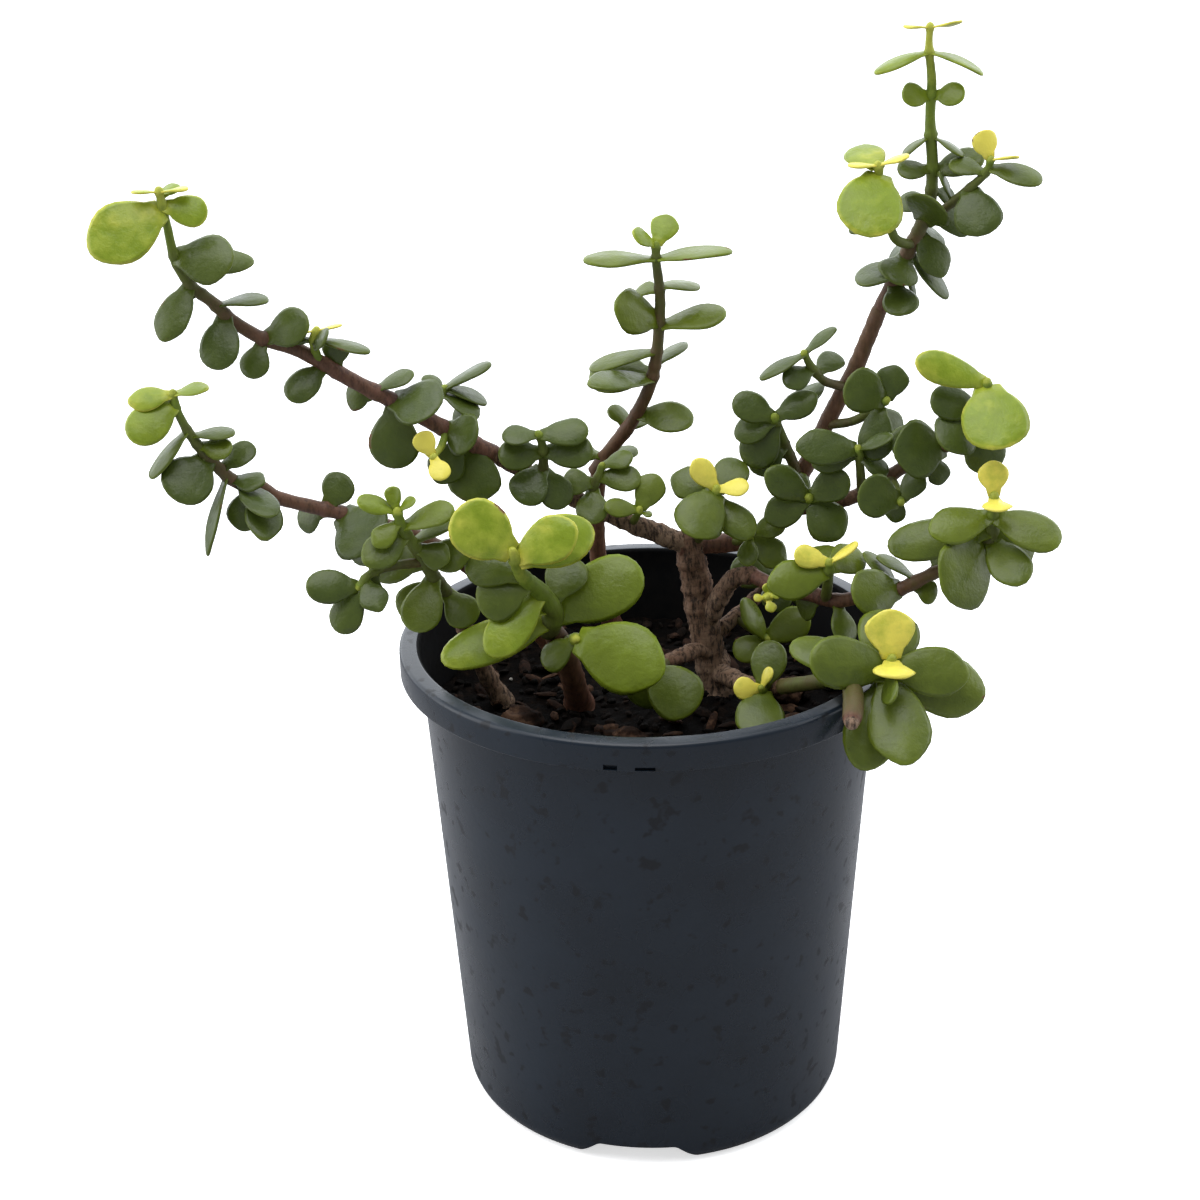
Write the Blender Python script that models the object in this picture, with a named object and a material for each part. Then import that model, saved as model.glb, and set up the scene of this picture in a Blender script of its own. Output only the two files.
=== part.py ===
"""A potted elephant bush: a nursery pot of potting mix and a young plant on four forking woody stems.

Metres, +Z up. The origin is the centre of the pot's underside, and -Y is the plant's front.
Plant points are written in millimetres as (right, back, up), with up measured from the potting mix.
A point that has to pass the pot's wall or rim is tied to it instead.
"""

import math
import random
from collections import namedtuple

import bmesh
import bpy
from mathutils import Matrix, Vector
from mathutils.bvhtree import BVHTree

MM = 0.001
GAP = 0.0003

# The pot
POT_HEIGHT = 0.140
RIM_RADIUS = 0.070
RIM_BAND = 0.0078
RIM_LEDGE = 0.0056
RIM_THICKNESS = 0.0056
RIM_ROUNDING = 0.0012
BASE_RADIUS = 0.0559
BASE_FILLET = 0.005
WALL = 0.0012
FLOOR = 0.0015
POT_SIDES = 44
FOOT_STEPS = 2

# The drainage arches in the foot of the pot
ARCH_COUNT = 3
ARCH_WIDTH = 0.037
ARCH_SLOPE = 0.0075
ARCH_HEIGHT = 0.0062
ARCH_DEPTH = 0.012
ARCH_BEARING = -96.5
DRAIN_RADIUS = 0.0025
DRAIN_SIDES = 12

# The two label slots under the rim
SLOT_WIDTH = 0.0030
SLOT_HEIGHT = 0.0010
SLOT_DEPTH = 0.0006
SLOT_DROP = 0.0012
SLOT_BEARINGS = (-101.5, -95.0)

# The potting mix
HEADSPACE = 0.022
SOIL_EDGE_DROP = 0.0015

# The plant: its height above the potting mix, and the height that its points are drawn at, in millimetres
PLANT_HEIGHT = 0.185
DRAWN_HEIGHT = 185
STEM_SIDES = 8
TWIG_SIDES = 6
FRONT_LEAN_BACK = 22.9
LEAF_THICKNESS = 0.0009
LEAF_THICKENING = 0.07
LEAF_CURL = 0.08
PETIOLE = 0.0006
LEAF_CLEARANCE = 0.0005

Stem = namedtuple("Stem", "name parent bark base tip points")
Shoot = namedtuple("Shoot", "name parent base tip colour points leaves")
Leaf = namedtuple("Leaf", "at clock lean face length width curl", defaults=(LEAF_CURL,))

BARK = {
    "old": ("bark", (0.16, 0.115, 0.085), 0.85),
    "young": ("young_bark", (0.075, 0.035, 0.028), 0.6),
}
FOLIAGE = {
    "dark": ("leaf_dark", (0.055, 0.095, 0.035), 0.42),
    "olive": ("leaf_olive", (0.12, 0.17, 0.05), 0.42),
    "lime": ("leaf_lime", (0.30, 0.42, 0.07), 0.42),
    "yellow": ("leaf_yellow", (0.82, 0.75, 0.17), 0.45),
}

SOIL_TOP = POT_HEIGHT - HEADSPACE
NECK_RADIUS = RIM_RADIUS - RIM_LEDGE


def pot_radius(height):
    """Outer radius of the pot's tapering wall at a height."""
    share = (height - BASE_FILLET) / (POT_HEIGHT - RIM_BAND - BASE_FILLET)
    return BASE_RADIUS + (NECK_RADIUS - BASE_RADIUS) * share


SOIL_RADIUS = pot_radius(SOIL_TOP) - WALL - GAP


def from_soil(right, back, up):
    """A plant point, drawn in millimetres from the middle of the potting mix's surface."""
    place = Vector((right, back, up)) * PLANT_HEIGHT / DRAWN_HEIGHT
    return place + Vector((0, 0, SOIL_TOP))


def from_rim(bearing, out, up):
    """A plant point outside the rim: millimetres out from its edge and up from its top."""
    turn = math.radians(bearing)
    reach = RIM_RADIUS + out * MM
    return Vector((math.cos(turn) * reach, math.sin(turn) * reach, POT_HEIGHT + up * MM))


def from_wall(bearing, inset, up):
    """A plant point inside the pot: millimetres in from the wall and up from the potting mix."""
    turn = math.radians(bearing)
    reach = SOIL_RADIUS - inset * MM
    return Vector((math.cos(turn) * reach, math.sin(turn) * reach, SOIL_TOP + up * MM))


STEMS = [
    Stem("trunk", None, "old", 4.7, 4.0, [
        (20, 9, 0.3), (18, 9, 10), (16, 8, 22), (14, 8, 33), (12, 8, 46)]),
    Stem("back_stem", None, "young", 2.8, 2.2, [
        ("wall", 100, 8, 0.3), (-13, 47, 19), (-14, 42, 40), (-13, 36, 58)]),
    Stem("front_stem", None, "young", 3.4, 3.0, [
        (-20, 0, 0.3), (-21, -6, 9), (-23, -12, 20), (-26, -17, 30)]),
    Stem("left_front_stem", None, "old", 2.6, 2.0, [
        (-42, 3, 0.3), (-48, -2, 16), (-53, -12, 37)]),
    Stem("left_low_branch", None, "young", 2.6, 2.0, [
        (-22, 18, 0.3), (-34, 12, 22), (-48, 4, 40), (-62, -3, 53), (-78, -7, 61)]),
    Stem("left_long_branch", "trunk", "old", 2.9, 2.2, [
        (12, 8, 45), (2, 6, 50), (-6, 5, 54), (-16, 4, 59), (-25, 3, 65), (-34, 2, 71), (-42, 1, 76)]),
    Stem("right_tall_branch", "trunk", "young", 2.8, 2.1, [
        (12, 8, 45), (24, 10, 45), (31, 11, 46), (36, 11, 51), (43, 12, 63), (50, 13, 78), (58, 14, 94),
        (64, 14, 110)]),
    Stem("ringed_branch", "trunk", "old", 2.7, 2.4, [
        (17, 7, 22), (20, 3, 31), (24, 0, 38), (29, -2, 40)]),
    Stem("right_middle_branch", "right_tall_branch", "young", 2.2, 1.8, [
        (38, 11, 54), (43, 7, 56), (50, 4, 58), (59, 1, 62), (66, -2, 68), (72, -4, 73)]),
    Stem("right_front_stem", "trunk", "old", 2.8, 2.0, [
        (19, 9, 6), (25, -3, 8), (31, -14, 10), ("rim", -33, -25.9, -6)]),
    Stem("low_left_spur", "trunk", "old", 2.4, 2.0, [
        (19, 9, 13), (12, 2, 15), (6, -4, 15)]),
    Stem("low_right_spur", "trunk", "old", 2.2, 1.8, [
        (18, 9, 16), (27, 14, 22), (33, 18, 26)]),
]

SHOOTS = [
    Shoot("front_lime_shoot", "front_stem", 2.7, 1.5, "lime", [
        (-27, -19, 33.5), (-26, -21, 38), (-29, -24, 45), (-34, -28, 52), (-36, -31, 60)], [
        Leaf(3.8, 142, 15, 5, 19, 16), Leaf(3.6, 26, 20, 5, 19, 12.5), Leaf(3.5, 24, -10, 10, 23, 14),
        Leaf(0.7, 28, 5, 5, 27, 17), Leaf(2.0, 228, 15, 10, 22, 11.5), Leaf(0.5, 198, 10, 15, 32, 12.5),
        Leaf(1.2, 185, 35, 50, 12, 9), Leaf(2.6, 205, -30, 10, 15, 13), Leaf(2.9, 160, -35, 15, 17, 12),
        Leaf(1.4, 60, -45, 20, 15, 12)]),
    Shoot("front_broad_leaf_shoot", "front_stem", 1.8, 1.5, "lime", [
        (-24, -14, 25), (-21, -22, 30), (-20, -28, 33)], [
        Leaf(2.0, -22, 20, 0, 26, 19.5), Leaf(1.6, 215, -15, 30, 12, 9)]),
    Shoot("right_front_shoot", "right_front_stem", 1.9, 1.5, "olive", [
        ("rim", -33.7, -24.9, -5.5), ("rim", -35.7, -13.4, -0.5), ("rim", -35.8, -3.4, 4),
        ("rim", -36, 5, 4.5), ("rim", -36.5, 6.5, 8), ("rim", -37, 7.5, 12)], [
        Leaf(5.0, 92, 10, 0, 13.5, 13, 0.02), Leaf(5.0, 268, 62, 0, 9, 11, 0.02),
        Leaf(4.0, 86, -25, 0, 18, 17), Leaf(4.2, -6, 10, 5, 20.5, 13.5), Leaf(3.8, -14, -5, 5, 27, 16.5),
        Leaf(4.2, 186, 10, 5, 22.5, 14), Leaf(3.4, 172, -10, 15, 27, 13), Leaf(3.2, 200, -5, 10, 25, 15),
        Leaf(3.5, 276, 15, 0, 26, 16.5), Leaf(3.0, 242, 0, 5, 23, 14.5), Leaf(3.9, 255, 40, 75, 14, 7)]),
    Shoot("broken_front_twig", "right_front_shoot", 2.2, 2.6, "olive", [
        ("rim", -36.2, -5.6, 4), ("rim", -46, 4, 4), ("rim", -51, 9.5, 1)], []),
    Shoot("right_low_shoot", "ringed_branch", 1.9, 1.4, "olive", [
        (30, -3, 39.5), (36, -8, 38), (44, -12, 38), (51, -15, 37), (60, -18, 40), (67, -20, 42),
        (75, -22, 47), (84, -24, 52), (90, -25, 58), (90, -26, 65), (90, -27, 71)], [
        Leaf(10.0, 92, 10, 0, 9.8, 8.2, 0.02), Leaf(10.0, 270, 60, 0, 7.5, 8, 0.02),
        Leaf(9.0, 192, 15, 25, 18, 11), Leaf(9.0, -22, 15, 25, 19, 12), Leaf(8.4, 186, -10, 20, 28, 12),
        Leaf(8.3, -28, -15, 15, 14, 10), Leaf(7.8, 216, 20, 0, 21, 20), Leaf(8.0, -62, 5, 5, 16.5, 11.5),
        Leaf(7.5, 252, -15, 15, 22, 9.5), Leaf(5.1, 186, 20, 5, 18, 13.5), Leaf(5.0, 150, -10, 55, 14, 8),
        Leaf(5.6, 140, -25, 60, 13, 7), Leaf(5.4, -25, -5, 20, 8, 7), Leaf(3.0, 282, 15, 25, 13, 8),
        Leaf(2.4, 215, -25, 20, 10, 8), Leaf(6.1, 55, -30, 30, 9, 7)]),
    Shoot("right_low_upright", "right_low_shoot", 1.4, 1.1, "olive", [
        (48, -14, 37), (48, -19, 44), (48, -21, 51)], [
        Leaf(2.0, 162, 10, 10, 10, 6.5, 0.02), Leaf(2.0, 36, 10, 65, 9.5, 5, 0.02),
        Leaf(1.5, 192, 15, 10, 17.5, 11), Leaf(1.6, 25, -25, 15, 14, 10), Leaf(1.4, 100, -45, 10, 12, 11)]),
    Shoot("right_low_bud", "right_low_shoot", 1.1, 0.9, "yellow", [
        (34, -7, 38), (33, -11, 37), (32, -14, 38)], [
        Leaf(2.0, 20, 20, 20, 4, 3), Leaf(2.0, 290, 20, 20, 4.5, 3.5), Leaf(1.6, 180, 20, 20, 4, 2.5),
        Leaf(1.5, 95, 20, 20, 4, 3)]),
    Shoot("right_middle_shoot", "right_middle_branch", 1.7, 1.2, "dark", [
        (72.7, -4.2, 73.5), (77, -7, 76), (82, -10, 81), (87, -12, 87), (89, -14, 94), (89, -14, 98)], [
        Leaf(5.0, 160, 10, 10, 20, 9), Leaf(4.7, 276, 30, 0, 19.5, 18), Leaf(4.3, -22, -25, 55, 13, 8),
        Leaf(1.6, 188, 25, 0, 16, 16), Leaf(3.0, 215, 10, 5, 14, 13), Leaf(3.4, 165, -10, 15, 14, 10),
        Leaf(0.8, 150, 10, 10, 12, 10), Leaf(3.0, 286, -5, 10, 15, 12), Leaf(1.0, 285, -10, 20, 9, 7)]),
    Shoot("right_middle_twig", "right_middle_branch", 1.2, 1.0, "dark", [
        (66, -2, 68), (67.5, -8, 66), (68, -12, 64)], [
        Leaf(2.0, 168, 20, 0, 12.5, 12), Leaf(1.9, 55, 10, 15, 10, 7), Leaf(1.3, 260, -15, 20, 8, 6)]),
    Shoot("right_top_shoot", "right_tall_branch", 1.8, 1.0, "dark", [
        (65, 14, 112), (69, 14, 121), (73, 15, 129), (76, 15, 136), (77, 15, 141), (77, 15, 150),
        (76, 15, 161), (76, 15, 171), (75, 15, 179), (75, 15, 185)], [
        Leaf(9.0, 176, 5, 78, 7, 5, 0.02), Leaf(9.0, 10, 5, 78, 8.5, 5, 0.02),
        Leaf(7.9, 190, 5, 58, 15, 7, 0.2), Leaf(7.9, -14, 5, 58, 15, 7, 0.2),
        Leaf(6.6, 184, 30, 15, 9, 7, 0.1), Leaf(6.6, -4, 30, 15, 9, 7, 0.1),
        Leaf(5.6, 205, 5, 62, 9, 5, 0.2), Leaf(5.6, -25, 5, 62, 10, 5.5, 0.15),
        Leaf(4.8, 184, 20, 30, 10, 7), Leaf(4.7, 16, 25, 25, 14, 9), Leaf(4.2, -20, -20, 30, 8, 6),
        Leaf(2.6, 82, 42, 0, 13, 13.5), Leaf(3.0, -10, -15, 20, 15, 9),
        Leaf(1.5, 240, 30, 5, 12, 11.5), Leaf(1.3, 212, 20, 0, 15, 12), Leaf(1.9, 208, -25, 45, 20, 7),
        Leaf(0.7, 282, -10, 5, 12, 10), Leaf(1.2, 288, -20, 60, 15, 7), Leaf(1.6, -45, -10, 40, 17, 8),
        Leaf(2.3, 300, 0, 15, 14, 10), Leaf(2.0, 20, -40, 20, 12, 9), Leaf(3.3, 150, -40, 20, 11, 8)]),
    Shoot("top_left_twig", "right_top_shoot", 1.2, 0.9, "lime", [
        (72, 14, 128), (67, 9, 131), (64, 6, 139), (62, 4, 147), (61, 3, 152)], [
        Leaf(4.0, 178, 5, 65, 8, 5, 0.02), Leaf(4.0, 18, 5, 65, 8.5, 5, 0.02),
        Leaf(3.4, 252, 28, 0, 20, 17.5), Leaf(3.6, 120, -30, 20, 13, 11), Leaf(2.0, 200, -30, 40, 12, 6)]),
    Shoot("top_right_twig", "right_top_shoot", 1.2, 0.9, "dark", [
        (76, 15, 134), (80, 11, 138), (85, 9, 143), (90, 8, 148), (91, 7, 152)], [
        Leaf(4.0, 108, 15, 5, 8, 7, 0.02), Leaf(4.0, 4, 10, 75, 7.5, 5, 0.02),
        Leaf(3.3, -12, 5, 35, 14.5, 9), Leaf(2.2, 282, 20, 0, 14, 13), Leaf(3.0, 150, -30, 30, 10, 7),
        Leaf(1.4, 110, -10, 60, 9, 5)]),
    Shoot("tall_left_twig", "right_tall_branch", 1.2, 0.9, "dark", [
        (55, 13, 89), (49, 9, 92), (45, 7, 97), (43, 6, 101)], [
        Leaf(3.0, 42, 5, 50, 11, 5.5), Leaf(2.8, 205, 5, 50, 14, 6), Leaf(1.8, 208, 25, 15, 10, 7.5),
        Leaf(1.5, 40, -25, 25, 10, 7.5)]),
    Shoot("tall_bushy_twig", "right_tall_branch", 1.4, 1.0, "dark", [
        (43, 12, 63), (39, 8, 73), (36, 5, 81), (35, 3, 84)], [
        Leaf(3.0, 155, 10, 10, 12.5, 9), Leaf(3.0, 28, 10, 15, 13, 8), Leaf(2.5, 200, -5, 15, 12, 8.5),
        Leaf(2.2, 236, 20, 5, 14.5, 11), Leaf(2.4, 40, -20, 40, 19, 8), Leaf(1.2, 215, -10, 15, 12, 11),
        Leaf(0.8, 150, -25, 20, 12, 9)]),
    Shoot("tall_right_twig", "right_tall_branch", 1.2, 1.0, "dark", [
        (50, 13, 78), (57, 7, 81), (62, 2, 86), (65, 0, 89)], [
        Leaf(3.0, 158, 25, 0, 13, 12.5), Leaf(3.0, 72, 10, 5, 10, 9), Leaf(2.3, 262, -5, 15, 15, 10),
        Leaf(1.6, -30, -25, 20, 14, 11)]),
    Shoot("middle_upright_twig", "right_middle_branch", 1.2, 1.0, "dark", [
        (59, 1, 62), (58, -3, 70), (57, -4, 77)], [
        Leaf(2.0, 176, 15, 15, 17.5, 10.5), Leaf(2.0, 22, 5, 50, 11, 5.5), Leaf(1.7, 190, 40, 10, 13, 8),
        Leaf(1.5, -20, -20, 30, 9, 6)]),
    Shoot("middle_front_twig", "right_tall_branch", 1.2, 1.0, "dark", [
        (33, 11, 48), (40, 3, 56), (44, -1, 61), (44, -4, 63)], [
        Leaf(3.0, 148, 20, 5, 14.5, 9.5), Leaf(3.0, 28, 20, 5, 12.5, 9.5), Leaf(2.7, 205, 15, 5, 13.5, 9.5),
        Leaf(2.5, -52, 5, 10, 14, 12), Leaf(1.7, 120, -20, 10, 12, 11)]),
    Shoot("crown_shoot", "trunk", 1.3, 1.0, "olive", [
        (13, 8, 45), (17, 2, 54), (19, -1, 61), (19, -3, 66)], [
        Leaf(3.0, 128, 15, 0, 10.5, 7, 0.02), Leaf(3.0, 4, 15, 30, 9, 6, 0.02),
        Leaf(2.7, 236, 28, 0, 16, 14.5), Leaf(2.6, 158, -15, 10, 14, 10), Leaf(2.6, 52, -15, 10, 12, 10),
        Leaf(2.2, -48, 15, 15, 14.5, 9), Leaf(1.3, -25, 10, 30, 12, 7), Leaf(1.4, 205, -15, 25, 9, 7)]),
    Shoot("crown_right_twig", "right_tall_branch", 1.2, 0.9, "olive", [
        (24, 10, 45), (27, 4, 48), (29, 1, 51)], [
        Leaf(2.0, 150, 15, 20, 9, 6), Leaf(2.0, 20, 15, 20, 10, 7), Leaf(1.6, 262, 20, 20, 9, 6),
        Leaf(1.4, -35, 0, 15, 13, 9)]),
    Shoot("centre_shoot", "back_stem", 1.9, 1.1, "olive", [
        (-12.7, 35.5, 60), (-9, 33, 66), (-3, 30, 75), (2, 28, 86), (4, 27, 96), (5, 26, 111),
        (4, 25, 122), (4, 25, 127)], [
        Leaf(7.0, 150, 35, 40, 8.5, 6.5), Leaf(7.0, 66, -10, 10, 10, 8),
        Leaf(6.1, 176, 5, 62, 20, 11), Leaf(6.1, 8, 5, 60, 21, 10),
        Leaf(5.3, 14, -35, 55, 14, 9), Leaf(5.2, 165, -40, 40, 9, 7),
        Leaf(4.6, 158, 35, 15, 17, 13), Leaf(4.5, 14, 5, 48, 19, 11), Leaf(4.0, 188, -10, 55, 20, 9),
        Leaf(3.6, 44, -35, 55, 15, 7), Leaf(3.3, 172, 30, 30, 19, 14), Leaf(3.2, 186, -5, 45, 23, 10),
        Leaf(2.2, -8, 15, 25, 16.5, 10.5), Leaf(1.7, 112, -20, 30, 9, 7), Leaf(1.6, 38, -30, 40, 9, 6),
        Leaf(0.5, 158, 20, 50, 10, 8), Leaf(0.5, 22, 30, 50, 10, 8)]),
    Shoot("branch_top_twig", "left_long_branch", 1.3, 1.0, "dark", [
        (-29, 2.5, 68), (-28, -1, 73), (-28, -3, 79), (-29, -4, 83)], [
        Leaf(3.0, 180, 10, 35, 10, 7.5), Leaf(3.0, 6, 10, 30, 13.5, 9), Leaf(1.7, 186, 20, 10, 12.5, 9),
        Leaf(1.7, -2, 20, 10, 14, 9.5), Leaf(0.9, 235, 5, 10, 12, 11), Leaf(0.7, 300, 0, 15, 12, 10)]),
    Shoot("branch_middle_twig", "left_long_branch", 1.2, 0.9, "dark", [
        (-17, 4, 60), (-14, 3, 66), (-12, 4, 71)], [
        Leaf(2.0, 20, 10, 35, 9, 6.5), Leaf(1.3, -5, 10, 15, 12, 8), Leaf(0.8, 265, 25, 5, 11, 9),
        Leaf(1.0, 200, -20, 20, 9, 8)]),
    Shoot("branch_right_twig", "left_long_branch", 1.1, 0.8, "olive", [
        (-4, 5.5, 53), (-3, 0, 57), (-2, -2, 60)], [
        Leaf(2.0, 62, 0, 5, 11, 8.5), Leaf(2.0, 172, 20, 25, 10, 6), Leaf(1.6, -15, 20, 50, 4, 3)]),
    Shoot("left_upper_shoot", "left_long_branch", 2.1, 1.1, "dark", [
        (-44, 0.6, 77.5), (-50, 0, 81), (-67, -2, 92), (-78, -4, 99), (-91, -6, 108), (-100, -8, 112),
        (-107, -9, 117), (-112, -11, 123), (-117, -12, 128), (-120, -13, 135), (-121, -14, 144),
        (-122, -15, 153)], [
        Leaf(11.0, 178, 5, 74, 7, 5, 0.02), Leaf(11.0, 6, 5, 74, 7.5, 5, 0.02),
        Leaf(10.4, 212, 12, 0, 21.5, 16), Leaf(10.5, -12, 0, 10, 11.5, 8.5), Leaf(10.7, 55, -35, 25, 7, 5),
        Leaf(9.1, -8, 18, 10, 16.5, 13.5), Leaf(8.8, 0, -28, 20, 20, 8), Leaf(8.0, 243, 10, 12, 16.5, 9.8),
        Leaf(7.5, 190, -25, 20, 6, 4), Leaf(6.8, 14, 0, 62, 13.5, 8, 0.16), Leaf(6.4, 262, 12, 5, 15, 11),
        Leaf(5.0, 18, 8, 12, 14.5, 10.5), Leaf(5.0, 250, 8, 8, 11, 8.2), Leaf(3.5, 222, 12, 8, 13.5, 9),
        Leaf(3.3, 95, 28, 5, 9, 7.5), Leaf(2.4, 184, 12, 5, 9.5, 8.5), Leaf(2.5, 26, -5, 50, 12, 7.5),
        Leaf(2.1, -10, 25, 0, 16.5, 15.5), Leaf(2.0, 272, -18, 12, 18, 14), Leaf(1.3, -36, 25, 0, 13, 12),
        Leaf(1.0, 240, 5, 8, 14, 10.5), Leaf(0.6, 275, -8, 5, 16, 15), Leaf(1.1, 70, -25, 30, 12, 8)]),
    Shoot("left_side_sprout", "left_upper_shoot", 1.1, 0.9, "yellow", [
        (-86, -5.5, 104), (-87, -7, 110), (-86, -7, 114)], [
        Leaf(2.0, 186, 5, 72, 7, 4, 0.02), Leaf(2.0, 12, 5, 72, 7, 4, 0.02), Leaf(1.3, -12, -5, 66, 16, 7),
        Leaf(1.2, -4, 20, 50, 9, 7), Leaf(1.2, 176, 10, 45, 7, 5)]),
    Shoot("left_node_twig", "left_upper_shoot", 1.1, 0.9, "dark", [
        (-59, -1, 87), (-56, 3, 91), (-54, 4, 94)], [
        Leaf(2.0, 32, 0, 62, 14.5, 8), Leaf(1.9, 10, -5, 55, 13, 8), Leaf(1.4, -6, -10, 50, 12, 7),
        Leaf(1.3, 120, -25, 40, 8, 6)]),
    Shoot("left_middle_sprout", "left_upper_shoot", 1.0, 0.8, "yellow", [
        (-54, -0.5, 83), (-55, -7, 81), (-57, -13, 80)], [
        Leaf(2.0, 118, 20, 5, 7.6, 6.2, 0.02), Leaf(2.0, 294, 20, 10, 7.4, 6, 0.02)]),
    Shoot("left_low_shoot", "left_low_branch", 1.9, 1.0, "dark", [
        (-79.5, -7.2, 61.6), (-83, -8, 63), (-98, -10, 68), (-103, -12, 72), (-110, -14, 75),
        (-115, -15, 81), (-119, -16, 87), (-122, -18, 95), (-123, -18, 101)], [
        Leaf(8.0, 186, 5, 30, 12, 7.5), Leaf(8.0, 12, 5, 50, 9.5, 6.5), Leaf(7.4, 218, 18, 8, 15, 11),
        Leaf(7.2, 196, -15, 20, 13, 8), Leaf(6.4, 226, 0, 52, 16, 8), Leaf(6.2, 8, -5, 55, 11.5, 7),
        Leaf(5.8, -8, 15, 25, 9.5, 7), Leaf(4.6, 36, 0, 25, 11, 7.5), Leaf(4.1, -6, 8, 35, 10.5, 7.5),
        Leaf(3.8, -14, -10, 45, 17, 9), Leaf(5.2, 232, 25, 0, 15, 14), Leaf(5.4, 240, -10, 55, 16, 8),
        Leaf(4.3, 252, 5, 60, 22, 8.5), Leaf(3.4, 258, 10, 8, 12.5, 10.5), Leaf(3.0, 280, 18, 28, 17.5, 10.5),
        Leaf(1.3, 58, 10, 10, 11, 9.8), Leaf(1.3, 198, 12, 10, 11.5, 9), Leaf(1.0, -42, 20, 0, 17.8, 17.5),
        Leaf(0.8, -28, -20, 8, 17, 14)]),
    Shoot("left_front_shoot", "left_front_stem", 1.8, 1.1, "olive", [
        (-53.4, -12.8, 38.4), (-58, -18, 48), (-62, -22, 58), (-65, -25, 65), (-66, -26, 70)], [
        Leaf(4.0, 158, 10, 35, 11, 6), Leaf(4.0, 100, 10, 35, 7, 5), Leaf(4.0, 40, 10, 40, 6, 4),
        Leaf(3.3, 222, 15, 15, 9.5, 6.5), Leaf(3.0, 20, 15, 35, 15, 8), Leaf(2.6, 214, 20, 10, 14, 10),
        Leaf(2.2, 32, -5, 50, 17, 8), Leaf(2.0, -22, 15, 12, 10, 8), Leaf(1.5, 176, 28, 8, 17, 13),
        Leaf(1.6, 6, 10, 15, 13, 10), Leaf(1.0, 250, 15, 10, 16, 11.5), Leaf(0.8, 222, -5, 10, 14, 11),
        Leaf(0.5, -50, -10, 15, 12, 10)]),
    Shoot("left_front_side_twig", "left_front_shoot", 1.2, 0.9, "dark", [
        (-60, -20, 53), (-68, -25, 54), (-74, -28, 53), (-77, -30, 50)], [
        Leaf(3.0, 178, 15, 10, 14, 9.5), Leaf(3.0, 236, 10, 15, 13.5, 9.5), Leaf(2.4, -60, 20, 15, 10, 8),
        Leaf(1.7, 250, -10, 20, 9, 8)]),
    Shoot("low_left_leaf_twig", "low_left_spur", 1.3, 1.0, "dark", [
        (5, -5, 15), (2, -9, 15), (0, -12, 16)], [
        Leaf(2.0, -44, 20, 0, 17, 15.5), Leaf(1.6, 252, 0, 10, 12, 11)]),
    Shoot("low_right_leaf_twig", "right_front_stem", 1.3, 1.0, "dark", [
        (31, -14, 10), (31, -19, 12), (30, -23, 15)], [
        Leaf(2.0, 178, 15, 0, 8, 6.5, 0.02), Leaf(2.0, 66, 15, 50, 6.5, 4.5, 0.02),
        Leaf(1.6, 262, 20, 0, 15.5, 14), Leaf(1.5, 76, -15, 10, 14, 10)]),
    Shoot("low_back_leaf_twig", "low_right_spur", 1.3, 1.0, "dark", [
        (34, 18.5, 26.5), (37, 18, 30), (40, 17, 32)], [
        Leaf(2.0, 172, 15, 10, 12, 9), Leaf(2.0, 10, 15, 20, 12, 8), Leaf(1.6, 252, 20, 15, 11, 9),
        Leaf(1.3, 200, -10, 20, 14, 11), Leaf(1.7, -40, 5, 15, 13, 9)]),
    Shoot("low_middle_leaf_twig", "low_right_spur", 1.2, 0.9, "olive", [
        (25, 13, 21), (31, 8, 18), (34, 5, 17)], [
        Leaf(2.0, 118, 20, 45, 14, 9), Leaf(2.0, 30, 15, 15, 14, 10), Leaf(1.5, 214, 10, 15, 10, 8)]),
]

# Broken pieces of bark: how each lies, by its bearing, its inset from the wall, its size and its turn
CHIPS = [
    ("bark_chip_front", -155, 22, (17, 11, 7), 35),
    ("bark_chip_left", -157, 11, (13, 9, 5), 110),
    ("bark_chip_middle", -104, 37, (12, 7, 4), 160),
    ("bark_chip_back", 94, 35, (22, 9, 5), 5),
    ("bark_chip_right", 1, 22, (15, 10, 6), 60),
    ("bark_chip_right_front", -55, 23, (12, 8, 5), 20),
]


def clear_scene():
    for obj in list(bpy.data.objects):
        bpy.data.objects.remove(obj, do_unlink=True)


def make_material(name, colour, roughness, metallic=0.0):
    material = bpy.data.materials.new(name)
    material.use_nodes = True
    shader = material.node_tree.nodes["Principled BSDF"]
    shader.inputs["Base Color"].default_value = (*colour, 1.0)
    shader.inputs["Roughness"].default_value = roughness
    shader.inputs["Metallic"].default_value = metallic
    return material


def add_object(name, mesh, material=None):
    obj = bpy.data.objects.new(name, mesh)
    bpy.context.scene.collection.objects.link(obj)
    if material:
        mesh.materials.append(material)
    return obj


def mesh_from(name, points, faces):
    mesh = bpy.data.meshes.new(name)
    mesh.from_pydata([tuple(point) for point in points], [], faces)
    mesh.update()
    return mesh


def outward(mesh):
    """The mesh with its faces turned to point out."""
    shape = bmesh.new()
    shape.from_mesh(mesh)
    bmesh.ops.recalc_face_normals(shape, faces=shape.faces)
    shape.to_mesh(mesh)
    shape.free()
    return mesh


def turned(name, profile, sides):
    """A closed turned body from a profile of (radius, height) that starts and ends on the axis."""
    shape = bmesh.new()
    rings = []
    for radius, height in profile:
        if radius == 0:
            rings.append([shape.verts.new((0, 0, height))])
            continue
        ring = []
        for step in range(sides):
            turn = 2 * math.pi * step / sides
            ring.append(shape.verts.new((radius * math.cos(turn), radius * math.sin(turn), height)))
        rings.append(ring)
    for lower, upper in zip(rings, rings[1:]):
        for step in range(sides):
            after = (step + 1) % sides
            corners = [lower[step % len(lower)], lower[after % len(lower)]]
            corners += [upper[after % len(upper)], upper[step % len(upper)]]
            shape.faces.new(list(dict.fromkeys(corners)))
    mesh = bpy.data.meshes.new(name)
    shape.to_mesh(mesh)
    shape.free()
    return outward(mesh)


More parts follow.
